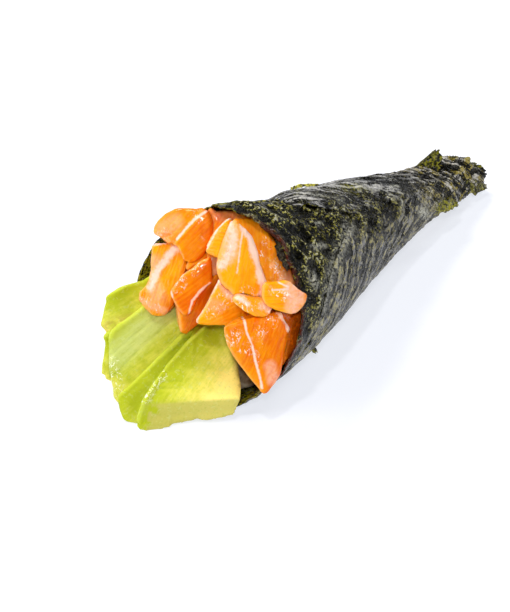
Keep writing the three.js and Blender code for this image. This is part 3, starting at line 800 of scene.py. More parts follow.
@dataclass(frozen=True)
class RollShape:
    """The cone that the nori is wound on, in mm and degrees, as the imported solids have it."""

    length: float = 142.0
    mouth_height: float = 27.1
    tip_height: float = 5.8
    axis_arch: float = 2.2
    cone: Pairs = ((-30, 29.7), (0, 27.1), (35, 21.8), (70, 14.7), (105, 9.8), (142, 5.6))
    mouth_bulge: float = 1.5
    bulge_angle: float = 115.0
    bulge_reach: float = 48.0
    mouth_tilt: float = 26.0
    mouth_turn: float = -4.5
    sheet: float = 0.8
    layer_gap: float = 0.4
    wrap_start: float = 190.0
    wrap_sweep: float = 600.0
    layers_over_bottom: float = 0.89
    loose: float = 1.5
    loose_angle: tuple[float, float] = (100.0, 40.0)
    loose_reach: tuple[float, float, float, float] = (24.0, 38.0, 80.0, 100.0)
    overlap_edge: Pairs = (
        (-115, 3), (-60, 4), (-38, 8), (-17, 15), (0, 13), (18, 17), (32, 27), (48, 41), (58, 43),
        (66, 38), (75, 26), (86, 22), (97, 22), (110, 26), (130, 32), (150, 22), (170, 10), (195, 4),
    )
    rim_wave: Pairs = (
        (-180, 0.5), (-60, 0), (-25, 0.5), (5, 1.5), (35, 3.2), (62, 3), (85, 1), (120, 1.5), (180, 0.5),
    )
    folds: tuple[tuple[float, float, float, float], ...] = (
        (1.0, 3, 0.07, 0.0), (0.7, 5, -0.13, 1.1), (0.6, 2, 0.21, 2.3),
    )
    folds_at_mouth: float = 0.12
    folds_at_tip: float = 0.53
    folds_start: float = 40.0
    tears: tuple[Place, ...] = ((0.4, 7, 0), (0.3, 12, 40))
    tip_ragged: float = 3.4
    tip_tears: tuple[Place, ...] = ((0.6, 2.7, 1), (0.4, 6.3, 0))
    tip_slant: float = 5.0
    tip_short: float = 2.5
    curve_steps: int = 20
    rim_rounds: int = 12

    def cone_table(self) -> np.ndarray:
        """The cone's radius along its length, as a smooth curve through its stations."""
        knots = np.array(self.cone, float)
        last = len(knots) - 1
        rows = []
        for step in range(last * self.curve_steps + 1):
            i = min(step // self.curve_steps, last - 1)
            t = step / self.curve_steps - i
            p0, p1, p2, p3 = (knots[min(max(i + k, 0), last)] for k in (-1, 0, 1, 2))
            v0, v1 = (p2 - p0) / 2, (p3 - p1) / 2
            cubic = (2 * p1 - 2 * p2 + v0 + v1) * t**3 + (3 * p2 - 3 * p1 - 2 * v0 - v1) * t**2
            rows.append(cubic + v0 * t + p1)
        return np.array(rows)

    def axis(self, y: np.ndarray) -> np.ndarray:
        """The axis's height over the table."""
        s = y / self.length
        straight = self.mouth_height + (self.tip_height - self.mouth_height) * s
        return straight + 4 * self.axis_arch * s * (1 - s)

    def bulge(self, angle: np.ndarray, y: np.ndarray) -> np.ndarray:
        """How far the mouth is swollen on its upper left."""
        share = 1 + np.cos(np.radians(angle - self.bulge_angle))
        return self.mouth_bulge * share * (1 - smoothstep(y, -10, self.bulge_reach))

    def radius(self, angle: np.ndarray, y: np.ndarray) -> np.ndarray:
        """The cone's outer radius with its folds.

        Args:
            angle: Degrees round the cone.
            y: Distance along it.

        Returns:
            The radius in mm.
        """
        table = self.cone_table()
        turned = np.radians(angle)
        waves = sum(high * np.sin(count * turned + y * pitch + phase)
                    for high, count, pitch, phase in self.folds)
        stronger = self.folds_at_tip - self.folds_at_mouth
        share = self.folds_at_mouth + stronger * smoothstep(y, self.folds_start, self.length)
        return np.interp(y, table[:, 0], table[:, 1]) + self.bulge(angle, y) + waves * share

    def mouth_normal(self) -> np.ndarray:
        """The direction that the mouth looks in."""
        tilt, turn = math.radians(self.mouth_tilt), math.radians(self.mouth_turn)
        return np.array([-math.sin(turn) * math.cos(tilt), -math.cos(turn) * math.cos(tilt), math.sin(tilt)])

    def rim(self, angle: np.ndarray) -> np.ndarray:
        """Where along the cone the mouth's wavy rim lies.

        Args:
            angle: Degrees round the cone.

        Returns:
            Distances along it, in mm.
        """
        table = self.cone_table()
        normal = self.mouth_normal()
        cos, sin = np.cos(np.radians(angle)), np.sin(np.radians(angle))
        y = np.zeros_like(np.asarray(angle, float))
        for _ in range(self.rim_rounds):
            r = np.interp(y, table[:, 0], table[:, 1]) + self.bulge(angle, y)
            y = -(r * cos * normal[0] + (self.axis(y) + r * sin - self.mouth_height) * normal[2]) / normal[1]
        around = (np.asarray(angle, float) + 180) % 360 - 180
        torn = sum(depth * np.sin(np.radians(angle * count + phase)) for depth, count, phase in self.tears)
        return y - along(self.rim_wave, around) + torn

    def front(self, wind: np.ndarray) -> np.ndarray:
        """The sheet's front edge: the mouth's rim on the first turn, the overlap's edge on the second."""
        angle = self.wrap_start - wind
        setback = along(self.overlap_edge, angle + 360) * smoothstep(wind, 360, 378)
        return self.rim(angle) + setback

    def back(self, wind: np.ndarray) -> np.ndarray:
        """The sheet's torn back edge."""
        torn = sum(share * np.sin(np.radians(wind) * often + phase) for share, often, phase in self.tip_tears)
        upper = smoothstep(np.sin(np.radians(self.wrap_start - wind)), 0.1, 1.0)
        return self.length - self.tip_short + self.tip_ragged * torn - self.tip_slant * upper

    def settling(self, angle: np.ndarray) -> np.ndarray:
        """How far the turn that covers the underside is let down to the table."""
        pitch = self.sheet + self.layer_gap
        return self.layers_over_bottom * pitch * smoothstep(-np.sin(np.radians(angle)), 0.82, 0.97)

    def looseness(self, wind: np.ndarray, y: np.ndarray) -> np.ndarray:
        """How far the second turn stands off the first.

        Args:
            wind: Degrees that the sheet has gone round from its inner end.
            y: Distance along the cone.

        Returns:
            Millimetres.
        """
        middle, width = self.loose_angle
        start, full, easing, end = self.loose_reach
        aside = (self.wrap_start - wind + 360 - middle) / width
        outer = smoothstep(wind, 360, 400) * smoothstep(y, start, full) * (1 - smoothstep(y, easing, end))
        return self.loose * outer * hump(aside, 1.0)

    def skin(self, wind: np.ndarray, y: np.ndarray, raised: np.ndarray) -> np.ndarray:
        """Places on the sheet's outer face.

        Args:
            wind: Degrees that the sheet has gone round from its inner end.
            y: Distance along the cone.
            raised: How far off the face.

        Returns:
            Places in mm, never under the table.
        """
        angle = self.wrap_start - wind
        depth = (self.sheet + self.layer_gap) * (self.wrap_sweep - wind) / 360
        radius = self.radius(angle, y) - depth + self.settling(angle) + self.looseness(wind, y) + raised
        cos, sin = np.cos(np.radians(angle)), np.sin(np.radians(angle))
        return np.stack([radius * cos, y, np.maximum(self.axis(y) + radius * sin, TABLE_GAP)], axis=1)


# ---------------------------------------------------------------- nori


# mm round the cone for each degree, as the marks on it are measured
MM_PER_DEGREE = 0.3


@dataclass(frozen=True)
class Feature:
    """A local mark on the rolled sheet: a line in degrees round the cone and mm along it.

    Attributes:
        line: (angle, distance) corners.
        width: Half its width in mm.
        strength: Its depth in mm, or how strongly it colours.
    """

    line: Pairs
    width: float
    strength: float

    def share(self, angle: np.ndarray, y: np.ndarray) -> np.ndarray:
        """How much of the mark each place gets."""
        line = tuple((around * MM_PER_DEGREE, distance) for around, distance in self.line)
        gap = line_distance(np.stack([angle * MM_PER_DEGREE, y], axis=1), line)
        return hump(gap, self.width) * self.strength


def strongest(marks: tuple[Feature, ...], angle: np.ndarray, y: np.ndarray, least: float = 0.0) -> np.ndarray:
    """The most that any of the marks gives each place, and least where none does."""
    return np.maximum.reduce([np.full(len(y), least), *(mark.share(angle, y) for mark in marks)])


# how green the sheet's inner face is, from 0 to 1
INSIDE_FRESH = 0.8
# folds that stand out of the second turn, and the valleys beside them
OUTER_FOLDS = (
    Feature(((78, 66), (66, 75), (46, 79), (28, 76)), 1.1, 0.9),
    Feature(((78, 70), (62, 79), (42, 83), (24, 80)), 1.3, -0.8),
    Feature(((96, 40), (90, 60), (84, 82), (80, 100)), 1.4, 0.5),
    Feature(((66, 50), (60, 66), (54, 84), (50, 104)), 1.3, -0.6),
    Feature(((40, 50), (30, 56), (14, 55), (-4, 48)), 1.2, -0.55),
    Feature(((44, 58), (30, 66), (10, 66)), 1.0, 0.45),
)
# where the second turn is crushed
OUTER_CRUSHED = (
    Feature(((62, 46), (52, 54), (40, 60)), 7.0, 0.95),
    Feature(((52, 66), (44, 74)), 6.0, 0.85),
    Feature(((72, 58), (66, 70)), 3.0, 0.7),
)
# dents of the first turn where it is crumpled near the mouth
INNER_FOLDS = (
    Feature(((52, 22), (46, 23), (36, 20)), 2.2, -0.8),
    Feature(((66, 34), (54, 38)), 1.8, -0.8),
    Feature(((70, 16), (64, 27), (60, 34)), 1.2, 0.7),
    Feature(((44, 14), (34, 17), (27, 14)), 1.6, 0.6),
    Feature(((96, 14), (88, 18), (78, 17)), 1.6, 0.5),
)
# painted sheen: pale spots and lines painted where light glances off the glossy sheet
PALE_SPOTS = (
    Feature(((27, 13.2), (26, 15)), 1.6, 1.0),
    Feature(((62, 31), (60, 36)), 0.6, 0.9),
    Feature(((46, 22.5), (43, 29)), 0.7, 0.7),
    Feature(((67.5, 82), (66, 84.5)), 0.8, 1.0),
    Feature(((14, 90), (6, 92)), 2.4, 0.9),
    Feature(((52, 47), (40, 39), (28, 27)), 0.9, 0.5),
    Feature(((78, 66), (66, 75), (46, 79), (28, 76)), 0.7, 0.5),
    Feature(((47, 48), (41, 42), (30, 31), (23, 24), (12, 18), (4, 17)), 1.7, 0.4),
    Feature(((96, 40), (84, 46), (72, 52)), 1.2, 0.4),
)
# how far the first turn's rim hangs forward over the salmon: (angle, mm) places
BROW = ((56, 0), (62, 1.0), (70, 3.4), (80, 5.4), (88, 5.6), (96, 4.6), (104, 2.8), (112, 0.8), (120, 0))
# where the sheet is still green
GREEN_SPOTS = (
    Feature(((-18, 104), (-6, 108), (2, 103)), 3.0, 0.9),
    Feature(((95, 132), (60, 138)), 3.0, 0.8),
    Feature(((112, 8), (104, 14)), 1.8, 0.9),
    Feature(((84, 60), (78, 68)), 1.6, 0.5),
)


@dataclass(frozen=True)
class NoriTurn:
    """One turn of the nori sheet, crumpled, with its torn edges.

    Attributes:
        name: The piece's name.
        columns: How its squares are spread round the spiral: (share of the squares, degrees) places.
        rows: How they are spread along it: (share of the squares, share of the length) places.
        steps: Squares round it and along it.
        outer: Whether it is the turn that lies outside.
        shape: The cone that it is wound on.
        thickness: How thick the sheet is, in mm.
        deepest: How far the first turn may be dented, in mm.
        flare: How far the first turn's rim stands up over the salmon, in mm.
        flare_at: Where it does: degrees round the cone, and how many degrees to each side.
        flare_reach: How far behind the rim it does, in mm.
        sheet_scale: Radius in mm that turns degrees round into mm on the flat sheet.
        fray_scale: The same for the ragged edges.
        noise: The pattern of the crumples.
    """

    name: str
    columns: Pairs
    rows: Pairs
    steps: tuple[int, int]
    outer: bool
    shape: RollShape = RollShape()
    thickness: float = 0.4
    deepest: float = -0.8
    flare: float = 3.0
    flare_at: tuple[float, float] = (86.0, 28.0)
    flare_reach: float = 16.0
    sheet_scale: float = 18.0
    fray_scale: float = 26.0
    noise: LatticeNoise = LatticeNoise(7)

    def drawn_out(self, wind: np.ndarray, y: np.ndarray, heading: float, share: float) -> np.ndarray:
        """Places on the flat sheet in mm, turned to a heading and pressed together along it.

        Args:
            wind: Degrees that the sheet has gone round.
            y: Distance along the cone.
            heading: Degrees from the way round the cone.
            share: How far they are pressed together.

        Returns:
            One place for each.
        """
        arc = np.radians(wind) * self.sheet_scale
        cos, sin = math.cos(math.radians(heading)), math.sin(math.radians(heading))
        return np.stack([(arc * cos + y * sin) * share, y * cos - arc * sin, wind * 0], axis=1)

    def front(self, wind: np.ndarray, angle: np.ndarray) -> np.ndarray:
        """The turn's front edge, which hangs forward at the top of the first turn."""
        edge = self.shape.front(wind)
        return edge if self.outer else edge - along(BROW, angle)

    def crumple(self, wind: np.ndarray, y: np.ndarray, masks: dict[str, np.ndarray]) -> np.ndarray:
        """How far the sheet stands in or out of its smooth face, in mm; also marks the crests.

        Args:
            wind: Degrees that the sheet has gone round.
            y: Distance along the cone.
            masks: Where each kind of surface is; the crests are added.

        Returns:
            The heights.
        """
        smooth_place = self.shape.skin(wind, y, np.zeros_like(y))
        axial = self.drawn_out(wind, y, STREAKED_HEADING, 0.12)
        hoop = self.drawn_out(wind, y, VEINED_HEADING, 0.26)
        twist = self.drawn_out(wind, y, TIP_HEADING, 0.12)
        broad = self.noise.layered(smooth_place, 8.0) * 0.3
        # each surface's mask, its height, its creases' place and size, and its bumps' place, size and share
        surfaces = (
            ("crumpled", 1.4, smooth_place, 5.5, smooth_place, 2.6, 0.5),
            ("streaked", 0.75, axial, 3.6, axial, 1.4, 0.35),
            ("veined", 0.55, hoop, 3.8, hoop, 1.6, 0.3),
            ("tip", 1.7, twist, 4.2, smooth_place, 2.5, 0.4),
        )
        crest, height = np.zeros_like(y), broad
        for name, high, crease_place, crease, bump_place, bump, share in surfaces:
            folded = self.noise.creased(crease_place, crease, 3) - CREASE_MEAN
            part = (folded + self.noise.layered(bump_place, bump) * share) * masks[name]
            crest = crest + part
            height = height + part * high
        # the material reads this mask to paint the crests lighter and the hollows darker
        masks["crest"] = np.clip(0.5 + crest * 1.1, 0, 1)
        return height

    def masks(self, wind: np.ndarray, y: np.ndarray) -> dict[str, np.ndarray]:
        """Where each kind of surface is, from 0 to 1.

        Args:
            wind: Degrees that the sheet has gone round.
            y: Distance along the cone.

        Returns:
            A mask for each kind, by name.
        """
        angle = self.shape.wrap_start - wind + (360 if self.outer else 0)
        front = self.front(wind, angle)
        none = np.zeros_like(y)
        tip = smoothstep(y, 84, 122)
        if self.outer:
            # fewer painted sheen streaks and less painted reflection towards the back
            wear_and_sheen = 1 - 0.8 * smoothstep(angle, 112, 145)
            upper = smoothstep(angle, 40, 66)
            crumpled = strongest(OUTER_CRUSHED, angle, y, 0.2)
            streaked = upper * wear_and_sheen * (1 - 0.8 * crumpled)
            veined = (1 - upper) * wear_and_sheen * (1 - crumpled)
            soaked = none
        else:
            streaked = none
            veined = smoothstep(-angle, -14, 16) * 0.9
            crumpled = (1 - 0.5 * smoothstep(angle, 80, 120)) * (1 - 0.7 * veined)
            edge = np.stack([angle, none, none], axis=1)
            near_rim = 1 - smoothstep(y - front + self.noise.layered(edge, 9.0), 0.6, 3.2)
            soaked = near_rim * smoothstep(angle, -50, -30) * (1 - smoothstep(angle, 62, 90))
        return {
            "crumpled": crumpled, "streaked": streaked, "veined": veined, "tip": tip, "soaked": soaked,
            "sheen": strongest(PALE_SPOTS, angle, y), "fresh": strongest(GREEN_SPOTS, angle, y),
        }

    def build(self, material: Material) -> Piece:
        """Builds the turn as a thin sheet.

        Args:
            material: The nori.

        Returns:
            The finished piece.
        """
        piece, round_it, along_it = add_grid(self.name, self.steps)
        wind = along(self.columns, round_it)
        angle = self.shape.wrap_start - wind + (360 if self.outer else 0)
        front, back = self.front(wind, angle), self.shape.back(wind)
        edge = np.stack([np.radians(wind) * self.fray_scale, wind * 0, wind * 0], axis=1)
        fray = self.noise.layered(edge, 2.4) * 0.5 + self.noise.layered(edge + 40, 9.0) * 0.5
        frayed_tip = self.noise.layered(edge * 0.5, 1.6) * 2.2
        off_edge = (back + frayed_tip - front - fray) * along(self.rows, along_it)
        y = front + fray + off_edge
        masks = self.masks(wind, y)
        raised = self.crumple(wind, y, masks)
        if self.outer:
            stand_off = self.shape.looseness(wind, y) + self.shape.layer_gap + 0.6
            lifted = smoothstep(self.noise.layered(edge + 9, 7.0), 0.1, 0.5) * smoothstep(angle, 20, 60)
            down = np.exp(-off_edge / 5.0) * smoothstep(wind, 385, 410)
            raised = raised * (1 - 0.7 * np.exp(-off_edge / 2.5)) - stand_off * down * (1 - lifted)
            raised = raised + lifted * 0.9 * np.exp(-off_edge / 1.6)
            raised = raised + sum(fold.share(angle, y) for fold in OUTER_FOLDS)
        else:
            overlap = self.shape.front(wind + 360)
            covered = smoothstep(y - overlap, -0.5, 5.0) * smoothstep(angle, -50, -35)
            raised = raised + sum(fold.share(angle, y) for fold in INNER_FOLDS)
            raised = np.maximum(raised, self.deepest) * (1 - 0.85 * covered) - 0.75 * covered
            middle, width = self.flare_at
            raised = raised + self.flare * hump(angle, width, middle) * hump(off_edge, self.flare_reach)
        write_points(piece, self.shape.skin(wind, y, raised))
        write_masks(piece, masks)
        write_uv(piece, "sheet", np.radians(wind) * self.sheet_scale, y)
        self.face_outwards(piece)
        apply_modifier(piece, "SOLIDIFY", thickness=self.thickness * MM, offset=-1.0)
        both_faces = np.concatenate([masks["fresh"], np.maximum(masks["fresh"], INSIDE_FRESH)])
        piece.data.attributes["fresh"].data.foreach_set("value", both_faces.astype(np.float32))
        finish_piece(piece, material, Slot.NORI, "nori_wrap")
        return piece

    def face_outwards(self, piece: Piece) -> None:
        """Turns the faces so that they look away from the cone's axis."""
        points = read_points(piece)
        outward = points - np.stack([points[:, 0] * 0, points[:, 1], self.shape.axis(points[:, 1])], axis=1)
        if np.sum(read_normals(piece) * outward) < 0:
            choose(piece)
            bpy.ops.object.mode_set(mode="EDIT")
            bpy.ops.mesh.select_all(action="SELECT")
            bpy.ops.mesh.flip_normals()
            bpy.ops.object.mode_set(mode="OBJECT")


TURNS = (
    NoriTurn("nori_inner_turn", ((0, 0), (0.08, 40), (0.78, 245), (1, 360)), ((0, 0), (0.68, 0.32), (1, 1)),
             (270, 170), False),
    NoriTurn("nori_outer_turn", ((0, 360), (0.1, 410), (1, 600)), ((0, 0), (1, 1)), (235, 205), True),
)


@dataclass(frozen=True)
class TornScrap:
    """A loose rag of nori with ragged sides.

    Attributes:
        name: The piece's name.
        spine: Its middle line from root to point, in mm on the roll's own axes.
        widths: Its width at each of those places, in mm.
        side: The direction that it is wide in.
        fresh: How green it is, from 0 to 1, and above 1 painted brighter, as painted light shining through a
            thin rag.
        soaked: How stained with juice it is, from 0 to 1.
        crease: How deep it is crumpled, in mm.
        thickness: How thick it is, in mm.
        seed: Chooses how it is torn.
        steps: Squares across and along it.
    """

    name: str
    spine: tuple[Place, ...]
    widths: tuple[float, ...]
    side: Place
    fresh: float = 0.5
    soaked: float = 0.0
    crease: float = 0.5
    thickness: float = 0.3
    seed: int = 1
    steps: tuple[int, int] = (26, 40)

    def build(self, material: Material) -> Piece:
        """Builds the scrap as a thin crumpled sheet."""
        piece, across, along_it = add_grid(self.name, self.steps)
        across = across - 0.5
        spine = np.array(self.spine, float)
        knots = np.linspace(0, 1, len(spine))
        middle = np.stack([np.interp(along_it, knots, spine[:, k]) for k in range(3)], axis=1)
        width = np.interp(along_it, knots, self.widths)
        noise = LatticeNoise(self.seed)
        length = float(np.linalg.norm(np.diff(spine, axis=0), axis=1).sum())
        side = np.array(self.side, float) / np.linalg.norm(self.side)
        rough = np.stack([along_it * length, np.sign(across) * 9, across * 0], axis=1)
        torn = 1 + 0.45 * noise.layered(rough, 1.3, 4) * smoothstep(np.abs(across), 0.1, 0.5)
        cross = np.cross(spine[-1] - spine[0], side)
        out = cross / np.linalg.norm(cross)
        places = middle + (across * width * torn)[:, None] * side
        ends = np.stack([across * 14, across * 0, across * 0], axis=1)
        run = (spine[-1] - spine[0]) / length
        places += (noise.layered(ends, 1.4, 3) * 0.9 * smoothstep(along_it, 0.6, 1.0))[:, None] * run
        folded = noise.creased(places, 2.6, 3)
        bent = folded * self.crease + noise.layered(places, 1.2) * 0.25 * self.crease
        write_points(piece, places + bent[:, None] * out)
        write_masks(piece, {
            "crumpled": 0.7, "streaked": 0.0, "veined": 0.0, "tip": 0.3 * min(self.fresh, 1.0),
            "soaked": self.soaked, "sheen": 0.06, "fresh": self.fresh,
            # the crest heights paint the rag's crests lighter and its hollows darker
            "crest": np.clip(0.5 + (folded - CREASE_MEAN) * 1.2, 0, 1),
        })
        write_uv(piece, "sheet", across * width, along_it * length)
        apply_modifier(piece, "SOLIDIFY", thickness=self.thickness * MM, offset=0.0)
        finish_piece(piece, material, Slot.NORI)
        return piece


# the face of the torn flap that stands up near the tip
FLAP_FACE = Facing((-0.5, 113, 20), 62, 12)


def on_flap(*places: Place) -> tuple[Place, ...]:
    """Places on the standing flap's face, on the roll's own axes."""
    return tuple(tuple(row) for row in FLAP_FACE.world(np.array(places, float)).tolist())


def on_roll(turn: int, *places: Place) -> tuple[Place, ...]:
    """Places off the rolled sheet, given as degrees round, mm along and mm out.

    Args:
        turn: 0 for the first turn, 1 for the second.
        places: The places.

    Returns:
        The same places on the roll's own axes.
    """
    shape = RollShape()
    angle, y, raised = np.array(places, float).T
    return tuple(tuple(row) for row in shape.skin(shape.wrap_start - angle + 360 * turn, y, raised).tolist())


SCRAPS = (
    TornScrap("torn_flap", on_flap((-2.2, -4.5, -0.4), (-1.0, -0.6, -0.2), (1.6, 2.2, 0), (3.0, 4.6, 0)),
              (9, 10, 6.4, 2.2), tuple(FLAP_FACE.axes()[0]), 0.9, crease=0.6, seed=4),
    TornScrap("torn_stalk", on_flap((-7.5, -0.9, 0), (-3, 1.8, 0), (2.2, 4.6, 0.1)), (1.3, 0.9, 0.7),
              tuple(FLAP_FACE.axes()[1]), 0.25, crease=0.2, seed=5, steps=(8, 30)),
    TornScrap("top_flake", on_roll(1, (104, 42, 0.3), (106, 48, 0.8), (104, 55, 0.3)), (0.8, 1.2, 0.6),
              (-0.26, 0, 0.96), 3.0, crease=0.12, seed=8),
    TornScrap("low_rag", ((9.6, 98, 15.2), (10.5, 106, 12.5), (10.4, 113.5, 10.0)), (2.6, 4.2, 2.6),
              (0.45, -0.1, -1), 0.9, crease=0.7, seed=12),
    TornScrap("tip_rag_top", ((-1, 128, 12.8), (0.6, 133.5, 12.0), (2.0, 138.5, 10.6)), (7, 5.5, 2.2),
              (1, 0, 0.1), 0.6, crease=0.8, seed=15),
    TornScrap("tip_rag_side", ((6.0, 125, 8.6), (7.6, 131, 6.8), (8.6, 136.5, 4.4)), (6, 5, 1.6),
              (0.3, 0, -1), 0.4, crease=0.8, seed=18),
    TornScrap("tip_rag_middle", ((2.0, 131, 9.0), (3.0, 136.5, 8.6), (3.9, 141, 8.6)), (6, 4.5, 1.4),
              (0.7, 0, -0.7), 0.8, crease=0.8, seed=21),
    TornScrap("rim_curl", on_roll(0, (67, 11.8, 0.0), (59, 9.6, -0.4), (50, 7.6, -0.6), (42, 6.2, -0.8)),
              (0.9, 2.4, 2.8, 1.2), (-0.45, -1, -0.5), 0.02, 0.12, crease=0.6, seed=24, steps=(16, 40)),
    TornScrap("low_shred", on_roll(1, (-38, 18.6, -0.3), (-39, 18.8, 0.7), (-40, 19.2, 1.6)), (1.0, 1.5, 0.8),
              (-0.1, 1, 0.2), 0.5, crease=0.3, seed=31, steps=(8, 10)),
)


# ---------------------------------------------------------------- food


def sharp_places(piece: Piece) -> np.ndarray:
    """Which vertices of a mesh of small, even faces lie on a sharp edge."""
    mesh = piece.data
    faces = read_array(mesh.polygons, "normal", 3)
    sides = read_array(mesh.polygons, "loop_total", 1, np.int32)[:, 0]
    corners = read_array(mesh.loops, "vertex_index", 1, np.int32)[:, 0]
    leaning = np.repeat(faces, sides, axis=0) * read_normals(piece)[corners]
    least = np.ones(len(mesh.vertices))
    np.minimum.at(least, corners, leaning.sum(axis=1))
    return least < math.cos(math.radians(SHARP_ANGLE))


def even_out(piece: Piece, values: np.ndarray, often: int) -> np.ndarray:
    """Mixes each vertex's value with its neighbours'.

    Args:
        piece: The mesh object.
        values: One for each vertex.
        often: How many times.

    Returns:
        The evened values.
    """
    start, end = read_array(piece.data.edges, "vertices", 2, np.int32).T
    count = len(values)
    around = np.bincount(start, minlength=count) + np.bincount(end, minlength=count)
    for _ in range(often):
        total = np.bincount(start, values[end], count) + np.bincount(end, values[start], count)
        values = OWN_SHARE * values + (1 - OWN_SHARE) * total / np.maximum(around, 1)
    return values


def copy_solid(node: str, name: str, cell: float, rounding: int) -> Piece:
    """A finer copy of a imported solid, whose faces are evened out and whose edges are only softened.

    Args:
        node: The solid's name.
        name: The new piece's name.
        cell: Size of the new faces, in mm.
        rounding: How often the edges are smoothed, on top of once.

    Returns:
        The copy, not yet tied to the frame, with its outer edges marked.
    """
    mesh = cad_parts[node].data.copy()
    piece = bpy.data.objects.new(name, mesh)
    bpy.context.scene.collection.objects.link(piece)
    choose(piece)
    bpy.ops.object.mode_set(mode="EDIT")
    bpy.ops.mesh.select_all(action="SELECT")
    bpy.ops.mesh.remove_doubles(threshold=MERGE_GAP)
    bpy.ops.object.mode_set(mode="OBJECT")
    apply_modifier(piece, "REMESH", mode="VOXEL", voxel_size=cell * MM)
    group = piece.vertex_groups.new(name="faces")
    group.add(np.flatnonzero(~sharp_places(piece)).tolist(), 1.0, "REPLACE")
    apply_modifier(piece, "SMOOTH", factor=0.5, iterations=FLATTENING, vertex_group="faces")
    piece.vertex_groups.clear()
    before = read_points(piece)
    apply_modifier(piece, "SMOOTH", factor=0.5, iterations=rounding + 1)
    wear_and_sheen = np.sum((before - read_points(piece)) * read_normals(piece), axis=1)
    write_masks(piece, {"edge": even_out(piece, smoothstep(wear_and_sheen / cell, 0.08, 0.3), 3)})
    return piece


@dataclass(frozen=True)
class Band:
    """A band or a patch on a cut face, such as fat, bloom or juice.

    Attributes:
        line: Its middle, on the face's own axes in mm.
        width: Half its width in mm.
        strength: How pale it is, from 0 to 1.
    """

    line: Pairs
    width: float = 0.5
    strength: float = 1.0

    def cover(self, flat: np.ndarray, core: float, wander: np.ndarray | float = 0.0) -> np.ndarray:
        """How strongly the band covers flat places.

        Args:
            flat: Places on the face.
            core: The share of its width that it covers fully, before it fades.
            wander: How far its edge strays at each place, in mm.

        Returns:
            From 0 to its strength.
        """
        gap = line_distance(flat, self.line) + wander
        return (1 - smoothstep(gap, core * self.width, self.width)) * self.strength


def ray_reach(outline: Pairs, angles: np.ndarray) -> np.ndarray:
    """How far an outline lies from the face's middle in each direction, or nothing where it is open.

    Args:
        outline: Its corners on the face's own axes.
        angles: The directions, in radians.

    Returns:
        The distances, and not-a-number where no part of it lies.
    """
    reach = np.full(len(angles), np.nan)
    heading = np.stack([np.cos(angles), np.sin(angles)], axis=1)
    for start, end in zip(np.array(outline, float)[:-1], np.array(outline, float)[1:]):
        side = end - start
        across = heading[:, 0] * side[1] - heading[:, 1] * side[0]
        safe = np.where(np.abs(across) < 1e-9, 1e-9, across)
        far = (start[0] * side[1] - start[1] * side[0]) / safe
        part = (start[0] * heading[:, 1] - start[1] * heading[:, 0]) / safe
        hit = (far > 0) & (part >= 0) & (part <= 1)
        reach[hit] = np.fmax(reach[hit], far[hit])
    return reach


def fit_outline(local: np.ndarray, outline: Pairs, margin: float) -> np.ndarray:
    """Moves a chunk's sides so that its shown face gets an outline.

    Args:
        local: Places on the face's own axes.
        outline: The wanted outline, open where the face is hidden.
        margin: How much the sides will still grow, in mm.

    Returns:
        The moved places.
    """
    angle = np.arctan2(local[:, 1], local[:, 0])
    distance = np.hypot(local[:, 0], local[:, 1])
    shown = local[:, 2] > -SHOWN_DEPTH
    place = ((angle + math.pi) / (2 * math.pi) * OUTLINE_BINS).astype(int) % OUTLINE_BINS
    side = np.zeros(OUTLINE_BINS)
    np.maximum.at(side, place[shown], distance[shown])
    centres = (np.arange(OUTLINE_BINS) + 0.5) / OUTLINE_BINS * 2 * math.pi - math.pi
    wanted = ray_reach(outline, centres) - margin
    open_side = np.isnan(wanted) | (side <= 0)
    factor = np.where(open_side, 1.0, np.clip(wanted / np.maximum(side, 0.1), *DRAWN))
    factor = 0.5 * factor + 0.25 * (np.roll(factor, 1) + np.roll(factor, -1))
    looped = np.interp(angle, centres, factor, period=2 * math.pi)
    share = smoothstep(local[:, 2], -MOVED_DEPTH, -SHOWN_DEPTH)
    moved = local.copy()
    moved[:, :2] *= (1 + (looped - 1) * share)[:, None]
    return moved


def copy_fitted(node: str, facing: Facing, outline: Pairs, swell: float, cell: float, rounding: int) -> Piece:
    """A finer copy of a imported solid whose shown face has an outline, if one is given.

    Args:
        node: The solid's name.
        facing: The shown face.
        outline: Its outline on its own axes, open where it is hidden.
        swell: How much the sides will still grow, in mm.
        cell: Size of the new faces, in mm.
        rounding: How often the edges are smoothed, on top of once.

    Returns:
        The copy, not yet tied to the frame.
    """
    piece = copy_solid(node, node + "_flesh", cell, rounding)
    if outline:
        local = facing.local(read_points(piece))
        write_points(piece, facing.world(fit_outline(local, outline, swell)))
    return piece


